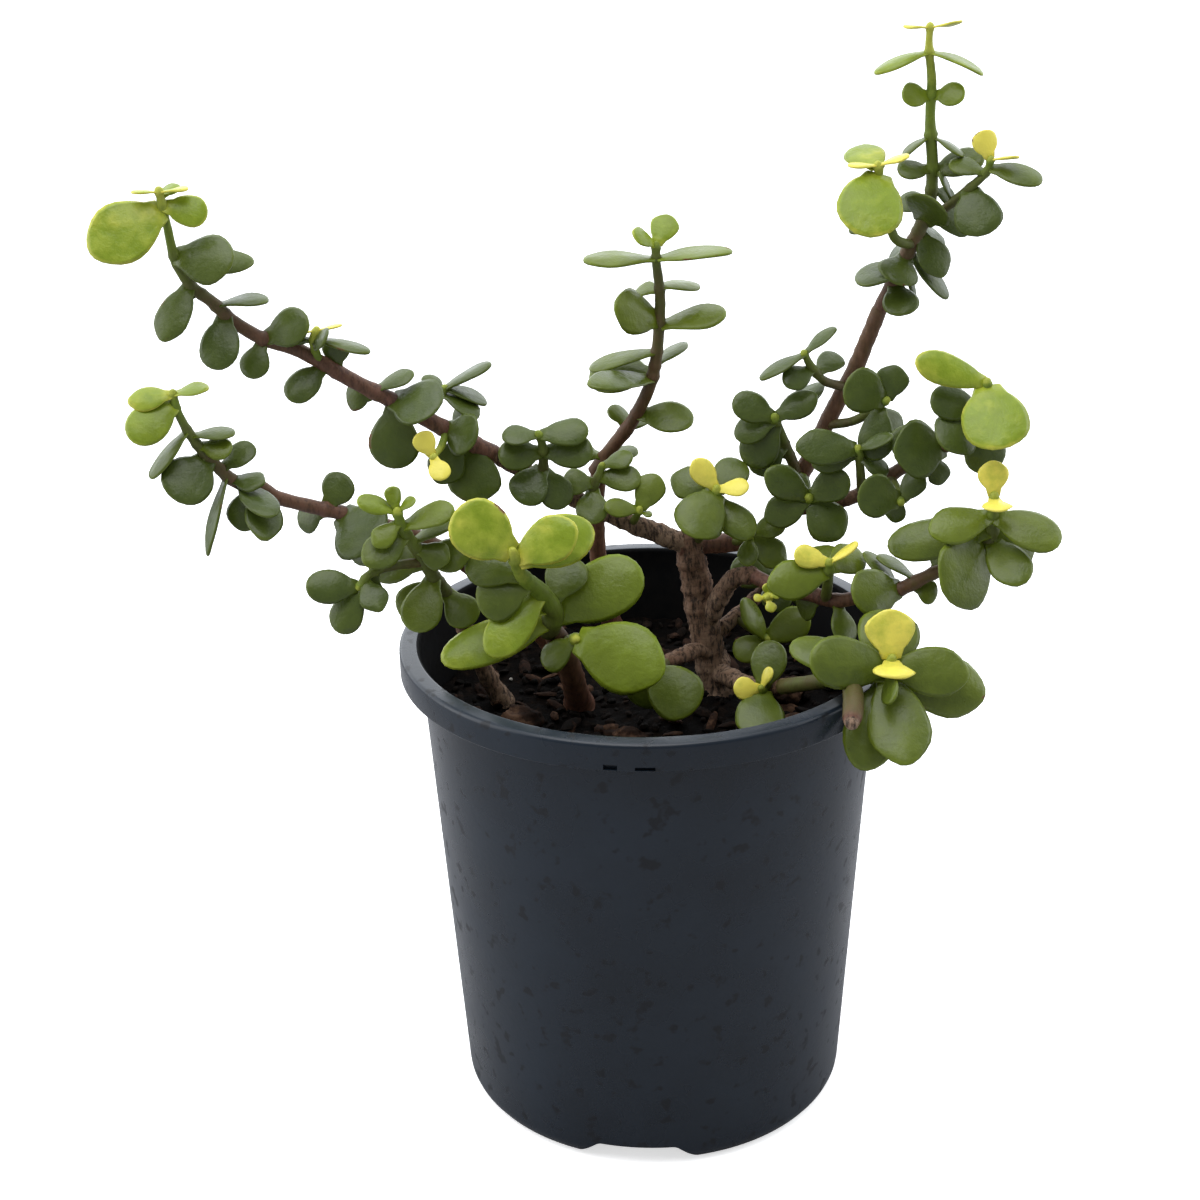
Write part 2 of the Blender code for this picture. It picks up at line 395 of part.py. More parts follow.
def combine(obj, tool_mesh, operation):
    """Unites a mesh with an object, or cuts it from it, and keeps the result as plain mesh."""
    tool = add_object("tool", tool_mesh)
    tool.hide_render = True
    tool.display_type = "WIRE"
    step = obj.modifiers.new("step", "BOOLEAN")
    step.operation = operation
    step.solver = "EXACT"
    step.object = tool
    graph = bpy.context.evaluated_depsgraph_get()
    result = bpy.data.meshes.new_from_object(obj.evaluated_get(graph))
    obj.modifiers.clear()
    obj.data = result
    bpy.data.objects.remove(tool, do_unlink=True)


def block(inner, outer, width, bottom, top, flare, bearing):
    """A block across the pot's foot at a bearing, wider at the bottom by its flare at each end."""
    half_low = width / 2 + flare
    half_high = width / 2
    turn = Matrix.Rotation(math.radians(bearing), 3, "Z")
    points = []
    for reach in (inner, outer):
        corners = ((-half_low, bottom), (half_low, bottom), (half_high, top), (-half_high, top))
        points += [turn @ Vector((reach, across, height)) for across, height in corners]
    faces = [(0, 3, 2, 1), (4, 5, 6, 7), (0, 1, 5, 4), (1, 2, 6, 5), (2, 3, 7, 6), (3, 0, 4, 7)]
    return outward(mesh_from("block", points, faces))


def arch_bearings():
    return [ARCH_BEARING + 360.0 * number / ARCH_COUNT for number in range(ARCH_COUNT)]


def arch_housing(margin, outer, bottom, bearing):
    """A block that holds a drainage arch with a margin round it."""
    inner = BASE_RADIUS - ARCH_DEPTH - margin
    return block(inner, outer, ARCH_WIDTH + 2 * margin, bottom, ARCH_HEIGHT + margin, 0, bearing)


def foot_curve(inset):
    """The rounded foot's outline, from its flat underside up to the wall, moved in by an inset."""
    curve = []
    for step in range(FOOT_STEPS + 1):
        turn = math.pi / 2 * (1 - step / FOOT_STEPS)
        radius = BASE_RADIUS - BASE_FILLET + (BASE_FILLET - inset) * math.cos(turn)
        curve.append((radius, BASE_FILLET - (BASE_FILLET - inset) * math.sin(turn)))
    return curve


def pot_outline():
    """The turned pot's outline: up the outside, over the rim and down the inside."""
    band_bottom = POT_HEIGHT - RIM_BAND
    mouth = RIM_RADIUS - RIM_THICKNESS
    outside = [(NECK_RADIUS, band_bottom), (RIM_RADIUS, band_bottom)]
    rim = [
        (RIM_RADIUS, POT_HEIGHT - RIM_ROUNDING),
        (RIM_RADIUS - RIM_ROUNDING, POT_HEIGHT),
        (mouth + RIM_ROUNDING, POT_HEIGHT),
        (mouth, POT_HEIGHT - RIM_ROUNDING),
    ]
    inside = [
        (NECK_RADIUS - WALL, band_bottom),
        (BASE_RADIUS - WALL, BASE_FILLET),
        (BASE_RADIUS - BASE_FILLET, FLOOR),
    ]
    return [(0, 0)] + foot_curve(0) + outside + rim + inside + [(0, FLOOR)]


def add_arch_housings(pot):
    """Walls off each drainage arch inside the pot, with the outer ends inside the pot's own wall."""
    middle = WALL / 2
    top = ARCH_HEIGHT + BASE_FILLET
    core = [(0, middle)] + foot_curve(middle) + [(pot_radius(top) - middle, top), (0, top)]
    for bearing in arch_bearings():
        housing = add_object("housing", arch_housing(WALL, RIM_RADIUS, FLOOR / 2, bearing))
        combine(housing, turned("core", core, POT_SIDES), "INTERSECT")
        combine(pot, housing.data, "UNION")
        bpy.data.objects.remove(housing, do_unlink=True)


def cut_arches(pot):
    """Cuts each arch through the foot, wider at the bottom, with two drain holes in its roof."""
    inner = BASE_RADIUS - ARCH_DEPTH
    outer = BASE_RADIUS + ARCH_DEPTH
    roof = ARCH_WIDTH - 2 * ARCH_SLOPE
    for bearing in arch_bearings():
        arch = block(inner, outer, roof, -ARCH_HEIGHT, ARCH_HEIGHT, 2 * ARCH_SLOPE, bearing)
        combine(pot, arch, "DIFFERENCE")
        for side in (-1, 1):
            place = Vector((BASE_RADIUS - ARCH_DEPTH / 2 - WALL, side * roof / 4, 0))
            top = ARCH_HEIGHT + 2 * WALL
            drain = turned("drain", [(0, 0), (DRAIN_RADIUS, 0), (DRAIN_RADIUS, top), (0, top)], DRAIN_SIDES)
            drain.transform(Matrix.Rotation(math.radians(bearing), 4, "Z") @ Matrix.Translation(place))
            combine(pot, drain, "DIFFERENCE")


def cut_slots(pot):
    """Cuts the two short label slots into the wall under the rim."""
    top = POT_HEIGHT - RIM_BAND - SLOT_DROP
    outer = pot_radius(top)
    for bearing in SLOT_BEARINGS:
        slot = block(outer - SLOT_DEPTH, outer + WALL, SLOT_WIDTH, top - SLOT_HEIGHT, top, 0, bearing)
        combine(pot, slot, "DIFFERENCE")


def make_pot():
    material = make_material("black_plastic", (0.022, 0.027, 0.036), 0.38)
    pot = add_object("pot", turned("pot", pot_outline(), POT_SIDES), material)
    add_arch_housings(pot)
    cut_arches(pot)
    cut_slots(pot)
    return pot


def make_soil():
    clearance = WALL + GAP
    edge = SOIL_TOP - SOIL_EDGE_DROP
    profile = [
        (0, FLOOR + GAP),
        (BASE_RADIUS - BASE_FILLET - GAP, FLOOR + GAP),
        (BASE_RADIUS - clearance, BASE_FILLET + GAP),
        (pot_radius(edge) - clearance, edge),
        (SOIL_RADIUS - 3 * SOIL_EDGE_DROP, SOIL_TOP),
        (0, SOIL_TOP),
    ]
    material = make_material("potting_mix", (0.028, 0.020, 0.014), 0.95)
    soil = add_object("potting_mix", turned("potting_mix", profile, POT_SIDES), material)
    for bearing in arch_bearings():
        combine(soil, arch_housing(clearance, RIM_RADIUS, 0, bearing), "DIFFERENCE")
    return soil


def make_chip(name, bearing, inset, size, turn):
    """A broken piece of bark lying on the potting mix."""
    pick = random.Random(name)
    length, width, height = [value * MM for value in size]
    points = []
    for layer, share in ((0.0, 0.82), (0.45, 1.0), (1.0, 0.62)):
        for step in range(7):
            around = 2 * math.pi * (step + pick.uniform(-0.25, 0.25)) / 7
            reach = share * pick.uniform(0.86, 1.0) / 2
            rise = layer * height * (pick.uniform(0.75, 1.0) if layer == 1.0 else 1.0)
            points.append(Vector((math.cos(around) * reach * length, math.sin(around) * reach * width, rise)))
    shape = bmesh.new()
    for point in points:
        shape.verts.new(point)
    hull = bmesh.ops.convex_hull(shape, input=shape.verts)
    spare = [item for item in hull["geom_interior"] if isinstance(item, bmesh.types.BMVert)]
    bmesh.ops.delete(shape, geom=spare, context="VERTS")
    mesh = bpy.data.meshes.new(name)
    shape.to_mesh(mesh)
    shape.free()
    seat = from_wall(bearing, inset, 0) + Vector((0, 0, GAP))
    mesh.transform(Matrix.Translation(seat) @ Matrix.Rotation(math.radians(turn), 4, "Z"))
    return add_object(name, outward(mesh), make_material(name, (0.12, 0.07, 0.045), 0.9))


def place_point(point):
    """A route point: plain (right, back, up), or one tied to the pot's wall or rim."""
    if point[0] == "rim":
        return from_rim(*point[1:])
    if point[0] == "wall":
        return from_wall(*point[1:])
    return from_soil(*point)


class Route:
    """A smooth centre line through a stem's points, with a radius that tapers along it."""

    def __init__(self, points, base, tip, rooted=False):
        self.points = [place_point(point) for point in points]
        self.rooted = rooted
        self.base = base * MM
        self.tip = tip * MM
        self.start = 0.0

    def at(self, along):
        last = len(self.points) - 1
        span = min(int(along), last - 1)
        share = along - span
        before = self.points[max(span - 1, 0)]
        here = self.points[span]
        there = self.points[span + 1]
        after = self.points[min(span + 2, last)]
        leave = (there - before) / 2
        arrive = (after - here) / 2
        square = share * share
        cube = square * share
        return (
            here * (2 * cube - 3 * square + 1)
            + leave * (cube - 2 * square + share)
            + there * (3 * square - 2 * cube)
            + arrive * (cube - square)
        )

    def direction(self, along):
        step = 0.02
        last = len(self.points) - 1
        return (self.at(min(along + step, last)) - self.at(max(along - step, 0))).normalized()

    def radius(self, along):
        return self.base + (self.tip - self.base) * along / (len(self.points) - 1)

    def ring(self, along, sides):
        """The corners of the stem's cross-section at a place along it."""
        axis = Vector((0, 0, 1)) if self.rooted and along == 0 else self.direction(along)
        side = axis.cross(Vector((0.2, 1, 0.1))).normalized()
        front = axis.cross(side)
        centre = self.at(along)
        reach = self.radius(along)
        corners = []
        for step in range(sides):
            turn = 2 * math.pi * step / sides
            corners.append(centre + (side * math.cos(turn) + front * math.sin(turn)) * reach)
        return corners

    def start_clear_of(self, parent, sides):
        """Moves the start out of the parent stem, by the gap that touching pieces keep."""
        last = len(parent.points) - 1
        samples = [(parent.at(step / 12), parent.radius(step / 12)) for step in range(12 * last + 1)]
        end = parent.at(last)
        onward = parent.direction(last)
        while self.start < len(self.points) - 1.1:
            ring = self.ring(self.start, sides) + [self.at(self.start)]
            beyond = all((corner - end).dot(onward) > GAP for corner in ring)
            beside = all(
                (corner - centre).length > reach + GAP for corner in ring for centre, reach in samples
            )
            if beyond or beside:
                return
            self.start += 0.02

    def mesh(self, name, sides, steps):
        last = len(self.points) - 1
        count = max(2, round((last - self.start) * steps))
        stations = [self.start + (last - self.start) * step / count for step in range(count + 1)]
        points = []
        faces = []
        for along in stations:
            points += self.ring(along, sides)
        for row in range(count):
            for step in range(sides):
                after = (step + 1) % sides
                low = row * sides
                high = low + sides
                faces.append((low + step, low + after, high + after, high + step))
        faces.append(tuple(reversed(range(sides))))
        faces.append(tuple(range(count * sides, (count + 1) * sides)))
        return outward(mesh_from(name, points, faces))


# Places along a leaf's blade, each with its share of the half width and of the half thickness.
# The first is the petiole's root, on the stem's centre line.
ROOT = -1
LEAF_STATIONS = ((ROOT, 0.13, 0.55), (0, 0.2, 0.62), (0.26, 0.76, 0.95), (0.6, 1, 1), (0.87, 0.68, 0.8))


def leaf_frame(leaf, shift):
    """The leaf's own axes: along it, across it and out of its upper face."""
    lean_clock, lean_depth, lean_face = shift
    clock = math.radians(leaf.clock + lean_clock)
    lean = math.radians(max(-75, min(75, leaf.lean + lean_depth)))
    face = math.radians(leaf.face + lean_face)
    back = math.radians(FRONT_LEAN_BACK)
    right = Vector((1, 0, 0))
    up = Vector((0, math.sin(back), math.cos(back)))
    front = Vector((0, -math.cos(back), math.sin(back)))
    along = (right * math.cos(clock) + up * math.sin(clock)) * math.cos(lean) + front * math.sin(lean)
    out = (front - along * front.dot(along)).normalized()
    skyward = out.cross(along)
    if skyward.dot(up + right * 0.01) < 0:
        skyward = -skyward
    out = out * math.cos(face) + skyward * math.sin(face)
    return along, out.cross(along), out


def leaf_shape(leaf, base, stem_radius, axes, size):
    """A plump spoon-shaped leaf's corners and faces: one edge, the upper ridge, the other edge in turn."""
    along, across, out = axes
    length = leaf.length * MM * size
    petiole = (stem_radius + PETIOLE) / length
    half_width = leaf.width * MM * size / 2
    half_thick = (LEAF_THICKNESS + LEAF_THICKENING * length) / 2
    points = []
    faces = []
    for blade, wide, thick in LEAF_STATIONS:
        share = 0.0 if blade == ROOT else petiole + (1 - petiole) * blade
        centre = base + along * length * share - out * length * leaf.curl * share * share
        sunk = centre - out * half_thick * thick / 2
        points.append(sunk - across * half_width * wide)
        points.append(centre + out * half_thick * thick)
        points.append(sunk + across * half_width * wide)
    points.append(base + along * length - out * length * leaf.curl)
    tip = len(points) - 1
    rows = len(LEAF_STATIONS)
    for row in range(rows - 1):
        for step in range(3):
            after = (step + 1) % 3
            faces.append((row * 3 + step, row * 3 + after, row * 3 + 3 + after, row * 3 + 3 + step))
    for step in range(3):
        faces.append((tip - 3 + step, tip - 3 + (step + 1) % 3, tip))
    faces.append((2, 1, 0))
    return points, faces


def grown(points, faces, by):
    """The same shape with every corner moved out along its normal."""
    shape = bmesh.new()
    corners = [shape.verts.new(point) for point in points]
    for face in faces:
        shape.faces.new([corners[index] for index in face])
    bmesh.ops.recalc_face_normals(shape, faces=shape.faces)
    shape.normal_update()
    moved = [corner.co + corner.normal * by for corner in corners]
    shape.free()
    return moved


def turns():
    """Small turns that a leaf can make from its own direction, gentlest first."""
    choices = []
    for clock in (0, 7, -7, 14, -14, 24, -24, 36, -36, 50, -50):
        for lean in (0, 10, -10, 20, -20, 32, -32, 46, -46):
            for face in (0, 25, -25, 50, -50):
                cost = abs(clock) + 0.5 * abs(lean) + 0.45 * abs(face)
                choices.append((cost, (clock, lean, face)))
    return [shift for cost, shift in sorted(choices)]


LEAF_TURNS = turns()


Body = namedtuple("Body", "tree low high")


def body_of(points, faces):
    """A shape ready for overlap tests, with its box."""
    low = Vector([min(point[axis] for point in points) for axis in range(3)])
    high = Vector([max(point[axis] for point in points) for axis in range(3)])
    return Body(tree_of(points, faces), low, high)


def tree_of(points, faces):
    return BVHTree.FromPolygons([tuple(point) for point in points], faces, epsilon=0.0)


def within_reach(bodies, base, reach):
    """The trees of the bodies whose box comes within reach of a point."""
    return [
        body.tree for body in bodies
        if all(body.low[axis] - reach < base[axis] < body.high[axis] + reach for axis in range(3))
    ]


def blade_faces(faces):
    """The faces past the petiole, which ends at the second station."""
    return [face for face in faces if min(face) >= 3]


def set_leaf(leaf, route, others, twig, siblings):
    """Finds the gentlest turn that keeps a leaf clear of what grew before it."""
    last = len(route.points) - 1
    along = min(leaf.at, last)
    stem_radius = route.radius(along)
    base = route.at(along) - route.direction(along) * stem_radius * 0.5 * (along > last - 0.1)
    reach = leaf.length * MM + LEAF_CLEARANCE
    others = within_reach(others, base, reach)
    siblings = within_reach(siblings, base, reach)
    for size in (1.0, 0.8, 0.6):
        for shift in LEAF_TURNS:
            axes = leaf_frame(leaf, shift)
            points, faces = leaf_shape(leaf, base, stem_radius, axes, size)
            blade = blade_faces(faces)
            if tree_of(points, blade).overlap(twig):
                continue
            shell = grown(points, faces, LEAF_CLEARANCE)
            whole = tree_of(shell, faces)
            if any(whole.overlap(tree) for tree in others):
                continue
            blade = tree_of(shell, blade)
            if any(blade.overlap(tree) for tree in siblings):
                continue
            return points, faces
    return None


def object_body(obj):
    mesh = obj.data
    return body_of([vert.co for vert in mesh.vertices], [tuple(face.vertices) for face in mesh.polygons])


def make_plant(solids):
    """Grows the stems, then the twigs, then the leaves, each clear of what is already there."""
    bark = {kind: make_material(*values) for kind, values in BARK.items()}
    foliage = {kind: make_material(*values) for kind, values in FOLIAGE.items()}
    routes = {}
    pieces = {}
    for stem in STEMS:
        route = Route(stem.points, stem.base, stem.tip, rooted=not stem.parent)
        if stem.parent:
            route.start_clear_of(routes[stem.parent], STEM_SIDES)
        routes[stem.name] = route
        mesh = route.mesh(stem.name, STEM_SIDES, 2)
        pieces[stem.name] = add_object(stem.name, mesh, bark[stem.bark])
    for shoot in SHOOTS:
        route = Route(shoot.points, shoot.base, shoot.tip)
        route.start_clear_of(routes[shoot.parent], TWIG_SIDES)
        routes[shoot.name] = route
        mesh = route.mesh(shoot.name, TWIG_SIDES, 1)
        pieces[shoot.name] = add_object(shoot.name, mesh, foliage[shoot.colour])
    bodies = {obj.name: [object_body(obj)] for obj in solids}
    for name, obj in pieces.items():
        bodies[name] = [object_body(obj)]
    for shoot in SHOOTS:
        own = bodies[shoot.name]
        others = [body for name, group in bodies.items() if name != shoot.name for body in group]
        for leaf in shoot.leaves:
            placed = set_leaf(leaf, routes[shoot.name], others, own[0].tree, own[1:])
            if not placed:
                continue
            own.append(body_of(*placed))
            combine(pieces[shoot.name], outward(mesh_from("leaf", *placed)), "UNION")


def smooth(obj):
    obj.data.shade_smooth()
    obj.data.set_sharp_from_angle(angle=math.radians(38))


clear_scene()
SOLIDS = [make_pot(), make_soil()]
SOLIDS += [make_chip(*chip) for chip in CHIPS]
make_plant(SOLIDS)
for item in bpy.data.objects:
    smooth(item)
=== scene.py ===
# %% [markdown]
# # A potted elephant bush
#
# The elephant bush is a small succulent shrub. Its stems are soft wood, grey and cracked where they are
# old and purple-brown where they are young, and its plump round leaves grow in pairs. This one stands in
# a black nursery pot.
#
# A measured model of the object is loaded first. It gives the size and place of each part, with plain
# surfaces. The lesson then gives each part its real shape and finish, and hides the plain one.

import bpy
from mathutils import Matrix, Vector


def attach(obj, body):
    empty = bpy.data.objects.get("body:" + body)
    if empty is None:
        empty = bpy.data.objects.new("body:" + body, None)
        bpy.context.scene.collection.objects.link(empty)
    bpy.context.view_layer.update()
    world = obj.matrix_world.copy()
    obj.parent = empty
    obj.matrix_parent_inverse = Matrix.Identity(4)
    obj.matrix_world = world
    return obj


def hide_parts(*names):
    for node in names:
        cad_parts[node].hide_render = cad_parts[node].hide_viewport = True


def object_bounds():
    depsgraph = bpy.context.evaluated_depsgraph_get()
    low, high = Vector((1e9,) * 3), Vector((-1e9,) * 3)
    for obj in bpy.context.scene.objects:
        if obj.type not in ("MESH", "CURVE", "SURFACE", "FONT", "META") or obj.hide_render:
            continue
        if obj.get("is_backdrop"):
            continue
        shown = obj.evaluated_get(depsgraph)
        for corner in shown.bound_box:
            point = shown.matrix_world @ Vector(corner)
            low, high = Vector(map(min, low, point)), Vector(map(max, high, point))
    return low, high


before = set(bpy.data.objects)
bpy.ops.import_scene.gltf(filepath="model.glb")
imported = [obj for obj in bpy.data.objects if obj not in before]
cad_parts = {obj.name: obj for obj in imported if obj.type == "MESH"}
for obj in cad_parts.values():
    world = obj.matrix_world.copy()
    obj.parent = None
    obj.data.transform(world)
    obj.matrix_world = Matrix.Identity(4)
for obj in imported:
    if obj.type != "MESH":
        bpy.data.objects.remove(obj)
measured_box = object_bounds()
print("measured parts:", len(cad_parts))

# %% Tools
import math
import random

import bmesh
import bpy
import numpy as np
from mathutils import Matrix, Vector, noise

MM = 0.001
SOIL_TOP = 0.118
print("Blender", bpy.app.version_string)

# %% [markdown]
# ## The view
#
# The camera looks down at the pot from a quarter of a metre above the rim and over half a metre away. Its
# place could be set with a Track To constraint, but a slight roll has to be kept, so the camera's three
# axes are worked out and put in its matrix: right, up, and back away from what it sees.

# %% Placing the camera
CAMERA_PLACE = Vector((-0.01341, -0.55197, 0.38356))
CAMERA_PITCH = math.radians(22.9)
CAMERA_ROLL = math.radians(-1.24)
LENS, SENSOR = 64.32, 36  # in millimetres

forward = Vector((0, math.cos(CAMERA_PITCH), -math.sin(CAMERA_PITCH)))
level = Vector((1, 0, 0))
upright = level.cross(forward)
right = level * math.cos(CAMERA_ROLL) + upright * math.sin(CAMERA_ROLL)
up = upright * math.cos(CAMERA_ROLL) - level * math.sin(CAMERA_ROLL)

bpy.ops.object.camera_add()
camera = bpy.context.object
camera.data.lens, camera.data.sensor_width = LENS, SENSOR
facing = Matrix((right, up, -forward)).transposed()
camera.matrix_world = Matrix.Translation(CAMERA_PLACE) @ facing.to_4x4()
bpy.context.scene.camera = camera
print("camera looks down by", round(math.degrees(CAMERA_PITCH), 1), "degrees")

# %% [markdown]
# ## Two habits
#
# Blender's operators act on whatever is selected, so every step starts by selecting one object and
# nothing else. In edit mode the corners are then chosen by a rule about where they are, which is what
# a hand would do with box select.

# %% Selecting
def only(obj):
    """Selects one object and makes it active."""
    if bpy.context.object and bpy.context.object.mode != "OBJECT":
        bpy.ops.object.mode_set(mode="OBJECT")
    bpy.ops.object.select_all(action="DESELECT")
    obj.select_set(True)
    bpy.context.view_layer.objects.active = obj
    return obj


def fresh(add_shape, name, **settings):
    """Adds a shape with nothing else selected, and names it."""
    bpy.ops.object.select_all(action="DESELECT")
    add_shape(**settings)
    bpy.context.object.name = name
    return bpy.context.object


def edit(obj, choice="DESELECT"):
    """Opens an object for editing with nothing in it selected, or all of it."""
    only(obj)
    bpy.ops.object.mode_set(mode="EDIT")
    bpy.ops.mesh.select_all(action=choice)


def pick(obj, rule):
    """In edit mode, selects only the corners whose place fits a rule."""
    bpy.ops.mesh.select_all(action="DESELECT")
    bpy.ops.mesh.select_mode(type="VERT")
    shape = bmesh.from_edit_mesh(obj.data)
    for corner in shape.verts:
        corner.select = rule(corner.co)
    shape.select_flush(True)
    bmesh.update_edit_mesh(obj.data)


def done():
    bpy.ops.object.mode_set(mode="OBJECT")


only(camera)
print("selected:", [obj.name for obj in bpy.context.selected_objects])

# %% [markdown]
# The other habit is to apply things: a modifier once it has done its work, and an object's place and turn,
# so that every finished piece sits at the origin with its shape where it belongs. Patterns then stay put.

# %% Applying
def apply_place(obj):
    only(obj)
    bpy.ops.object.transform_apply(location=True, rotation=True, scale=True)
    return obj


def apply_modifiers(obj):
    only(obj)
    for modifier in list(obj.modifiers):
        bpy.ops.object.modifier_apply(modifier=modifier.name)
    return obj


def remove(obj):
    mesh = obj.data
    bpy.data.objects.remove(obj, do_unlink=True)
    if mesh.users == 0:
        bpy.data.meshes.remove(mesh)


def seal(obj):
    """Merges corners that lie on each other and turns every face out."""
    edit(obj, "SELECT")
    bpy.ops.mesh.remove_doubles(threshold=0.01 * MM)
    bpy.ops.mesh.normals_make_consistent(inside=False)
    done()
    return obj


def smooth(obj, angle=None):
    only(obj)
    if angle is None:
        bpy.ops.object.shade_smooth()
    else:
        bpy.ops.object.shade_smooth_by_angle(angle=math.radians(angle))
    return obj


def join(name, parts):
    """Joins several objects into the first and names the result."""
    only(parts[0])
    for other in parts:
        other.select_set(True)
    bpy.ops.object.join()
    parts[0].name = name
    return parts[0]


def add_mesh(name, mesh):
    """Puts a mesh that was made by copying into the scene."""
    obj = bpy.data.objects.new(name, mesh)
    bpy.context.scene.collection.objects.link(obj)
    return obj


def store(mesh, name, values):
    """Keeps one number for each corner, or the same number for all."""
    if name not in mesh.attributes:
        mesh.attributes.new(name, "FLOAT", "POINT")
    numbers = np.broadcast_to(np.asarray(values, dtype=np.float32), len(mesh.vertices))
    mesh.attributes[name].data.foreach_set("value", np.ascontiguousarray(numbers))


print("helpers ready")

# %% [markdown]
# ## Helpers for finishes
#
# A finish is a small network: textures make numbers, ramps turn numbers into colours, and one shader
# takes them all. The helpers below add one node each, so that a finish reads from top to bottom.
# Patterns use object coordinates in metres, so a noise of scale 200 has spots about 5 mm across.

# %% Nodes for finishes
def new_finish(name, roughness, specular=0.5):
    """A material with one shader. The values that are the same all over are set on it here."""
    finish = bpy.data.materials.new(name)
    finish.use_nodes = True
    shader = finish.node_tree.nodes["Principled BSDF"]
    shader.inputs["Roughness"].default_value = roughness
    shader.inputs["Specular IOR Level"].default_value = specular
    return finish


def put(finish, socket, value):
    """Sets a socket to a plain value, or links it to another node's output."""
    if isinstance(value, bpy.types.NodeSocket):
        finish.node_tree.links.new(value, socket)
    elif value is not None:
        socket.default_value = value


def node(finish, kind, inputs, **settings):
    made = finish.node_tree.nodes.new("ShaderNode" + kind)
    for key, value in settings.items():
        setattr(made, key, value)
    for key, value in inputs.items():
        put(finish, made.inputs[key], value)
    return made


def places(finish, stretch=(1, 1, 1)):
    """Where a point is on the object, stretched along each axis."""
    coordinates = node(finish, "TexCoord", {}).outputs["Object"]
    return node(finish, "Mapping", {"Vector": coordinates, "Scale": stretch}).outputs["Vector"]


def spots(finish, scale, detail=3.0, stretch=(1, 1, 1), rough=0.55):
    """A cloudy noise from 0 to 1."""
    inputs = {"Vector": places(finish, stretch), "Scale": scale, "Detail": detail, "Roughness": rough}
    return node(finish, "TexNoise", inputs).outputs["Fac"]


def between(finish, value, low, high, least=0.0, most=1.0):
    """Spreads the part of a number from low to high over least to most, and holds it there."""
    inputs = {"Value": value, "From Min": low, "From Max": high, "To Min": least, "To Max": most}
    return node(finish, "MapRange", inputs, clamp=True).outputs["Result"]


def sway(finish, pattern, least, most):
    """Spreads the usual part of a cloudy noise over least to most."""
    return between(finish, pattern, 0.3, 0.7, least, most)


def plus(finish, first, second):
    return node(finish, "Math", {0: first, 1: second}, operation="ADD").outputs[0]


def times(finish, first, second):
    return node(finish, "Math", {0: first, 1: second}, operation="MULTIPLY").outputs[0]


def blend(finish, share, first, second):
    """Mixes two colours by a share."""
    return node(finish, "Mix", {0: share, 6: first, 7: second}, data_type="RGBA").outputs[2]


def ramp(finish, value, stops):
    """Turns a number into a colour along a list of (number, colour)."""
    made = node(finish, "ValToRGB", {"Fac": value})
    band = made.color_ramp
    while len(band.elements) < len(stops):
        band.elements.new(1.0)
    for element, (place, colour) in zip(band.elements, stops):
        element.position = place
        element.color = (*colour, 1)
    return made.outputs["Color"]


def mark(finish, name):
    """A number stored on each corner of the piece."""
    return node(finish, "Attribute", {}, attribute_name=name).outputs["Fac"]


def dress(finish, colour, roughness=None, height=None, depth=0.0002, strength=0.5):
    """Links the colour, the roughness and the fine relief to the shader."""
    shader = finish.node_tree.nodes["Principled BSDF"]
    put(finish, shader.inputs["Base Color"], colour)
    put(finish, shader.inputs["Roughness"], roughness)
    if height is not None:
        inputs = {"Height": height, "Distance": depth, "Strength": strength}
        put(finish, shader.inputs["Normal"], node(finish, "Bump", inputs).outputs["Normal"])
    return finish


def settle(piece, finish, slot, *measured):
    """Gives a finished piece its material, hangs it from the root and hides the measured parts that it
    stands for.
    """
    piece.data.materials.clear()
    piece.data.materials.append(finish)
    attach(piece, "root")
    if measured:
        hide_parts(*measured)
    return piece


print("finish helpers ready")

# %% [markdown]
# ## The studio
#
# Small plants are often lit in a white tent: broad soft lamps on the left and right, one above, and pale
# surfaces behind and beside. Area lamps are used, because a sun or a point lamp would draw hard shadows.

# %% Lamps, sky and floor
def add_lamp(name, place, aim, size, power):
    """A soft rectangular lamp that faces a point."""
    bpy.ops.object.light_add(type="AREA", location=place)
    lamp = bpy.context.object
    lamp.name = name
    lamp.data.shape = "RECTANGLE"
    lamp.data.size, lamp.data.size_y = size
    lamp.data.energy = power
    lamp.rotation_euler = (Vector(aim) - Vector(place)).to_track_quat("-Z", "Y").to_euler()
    return lamp


POT_MIDDLE = (0, 0, 0.12)
add_lamp("left_lamp", (-0.95, -0.10, 0.45), POT_MIDDLE, (0.7, 1.0), 4.2)
add_lamp("right_lamp", (0.95, 0.05, 0.45), POT_MIDDLE, (0.6, 1.0), 2.4)
add_lamp("top_lamp", (-0.15, -0.25, 1.15), POT_MIDDLE, (0.9, 0.9), 6.8)

sky = bpy.data.worlds.new("white_tent")
sky.use_nodes = True
sky.node_tree.nodes["Background"].inputs["Color"].default_value = (0.92, 0.955, 1.0, 1.0)
bpy.context.scene.world = sky
bpy.context.scene.view_settings.view_transform = "Standard"

# %% [markdown]
# The sky does more than the lamps. It is bright behind and beside the pot and dim in front of it, where
# the camera and the dark room are. The glossy pot shows this as soft bright edges and a dark middle, which
# tells the eye that it is round and black. The direction that a point of the sky lies in gives its
# brightness. The camera itself sees plain white: a Light Path node tells the two apart.

# %% A white background
DIM_FRONT, BRIGHT_BACK = 0.34, 2.2
FADE_FROM, FADE_TO = -0.60, 0.85
WHITE = (1, 1, 1, 1)


def split_for_the_camera(owner, others_see, camera_sees, socket):
    """Shows one shader to the camera itself and another to all the light that bounces."""
    direct = node(owner, "LightPath", {}).outputs["Is Camera Ray"]
    either = node(owner, "MixShader", {0: direct, 1: others_see, 2: camera_sees})
    put(owner, socket, either.outputs[0])


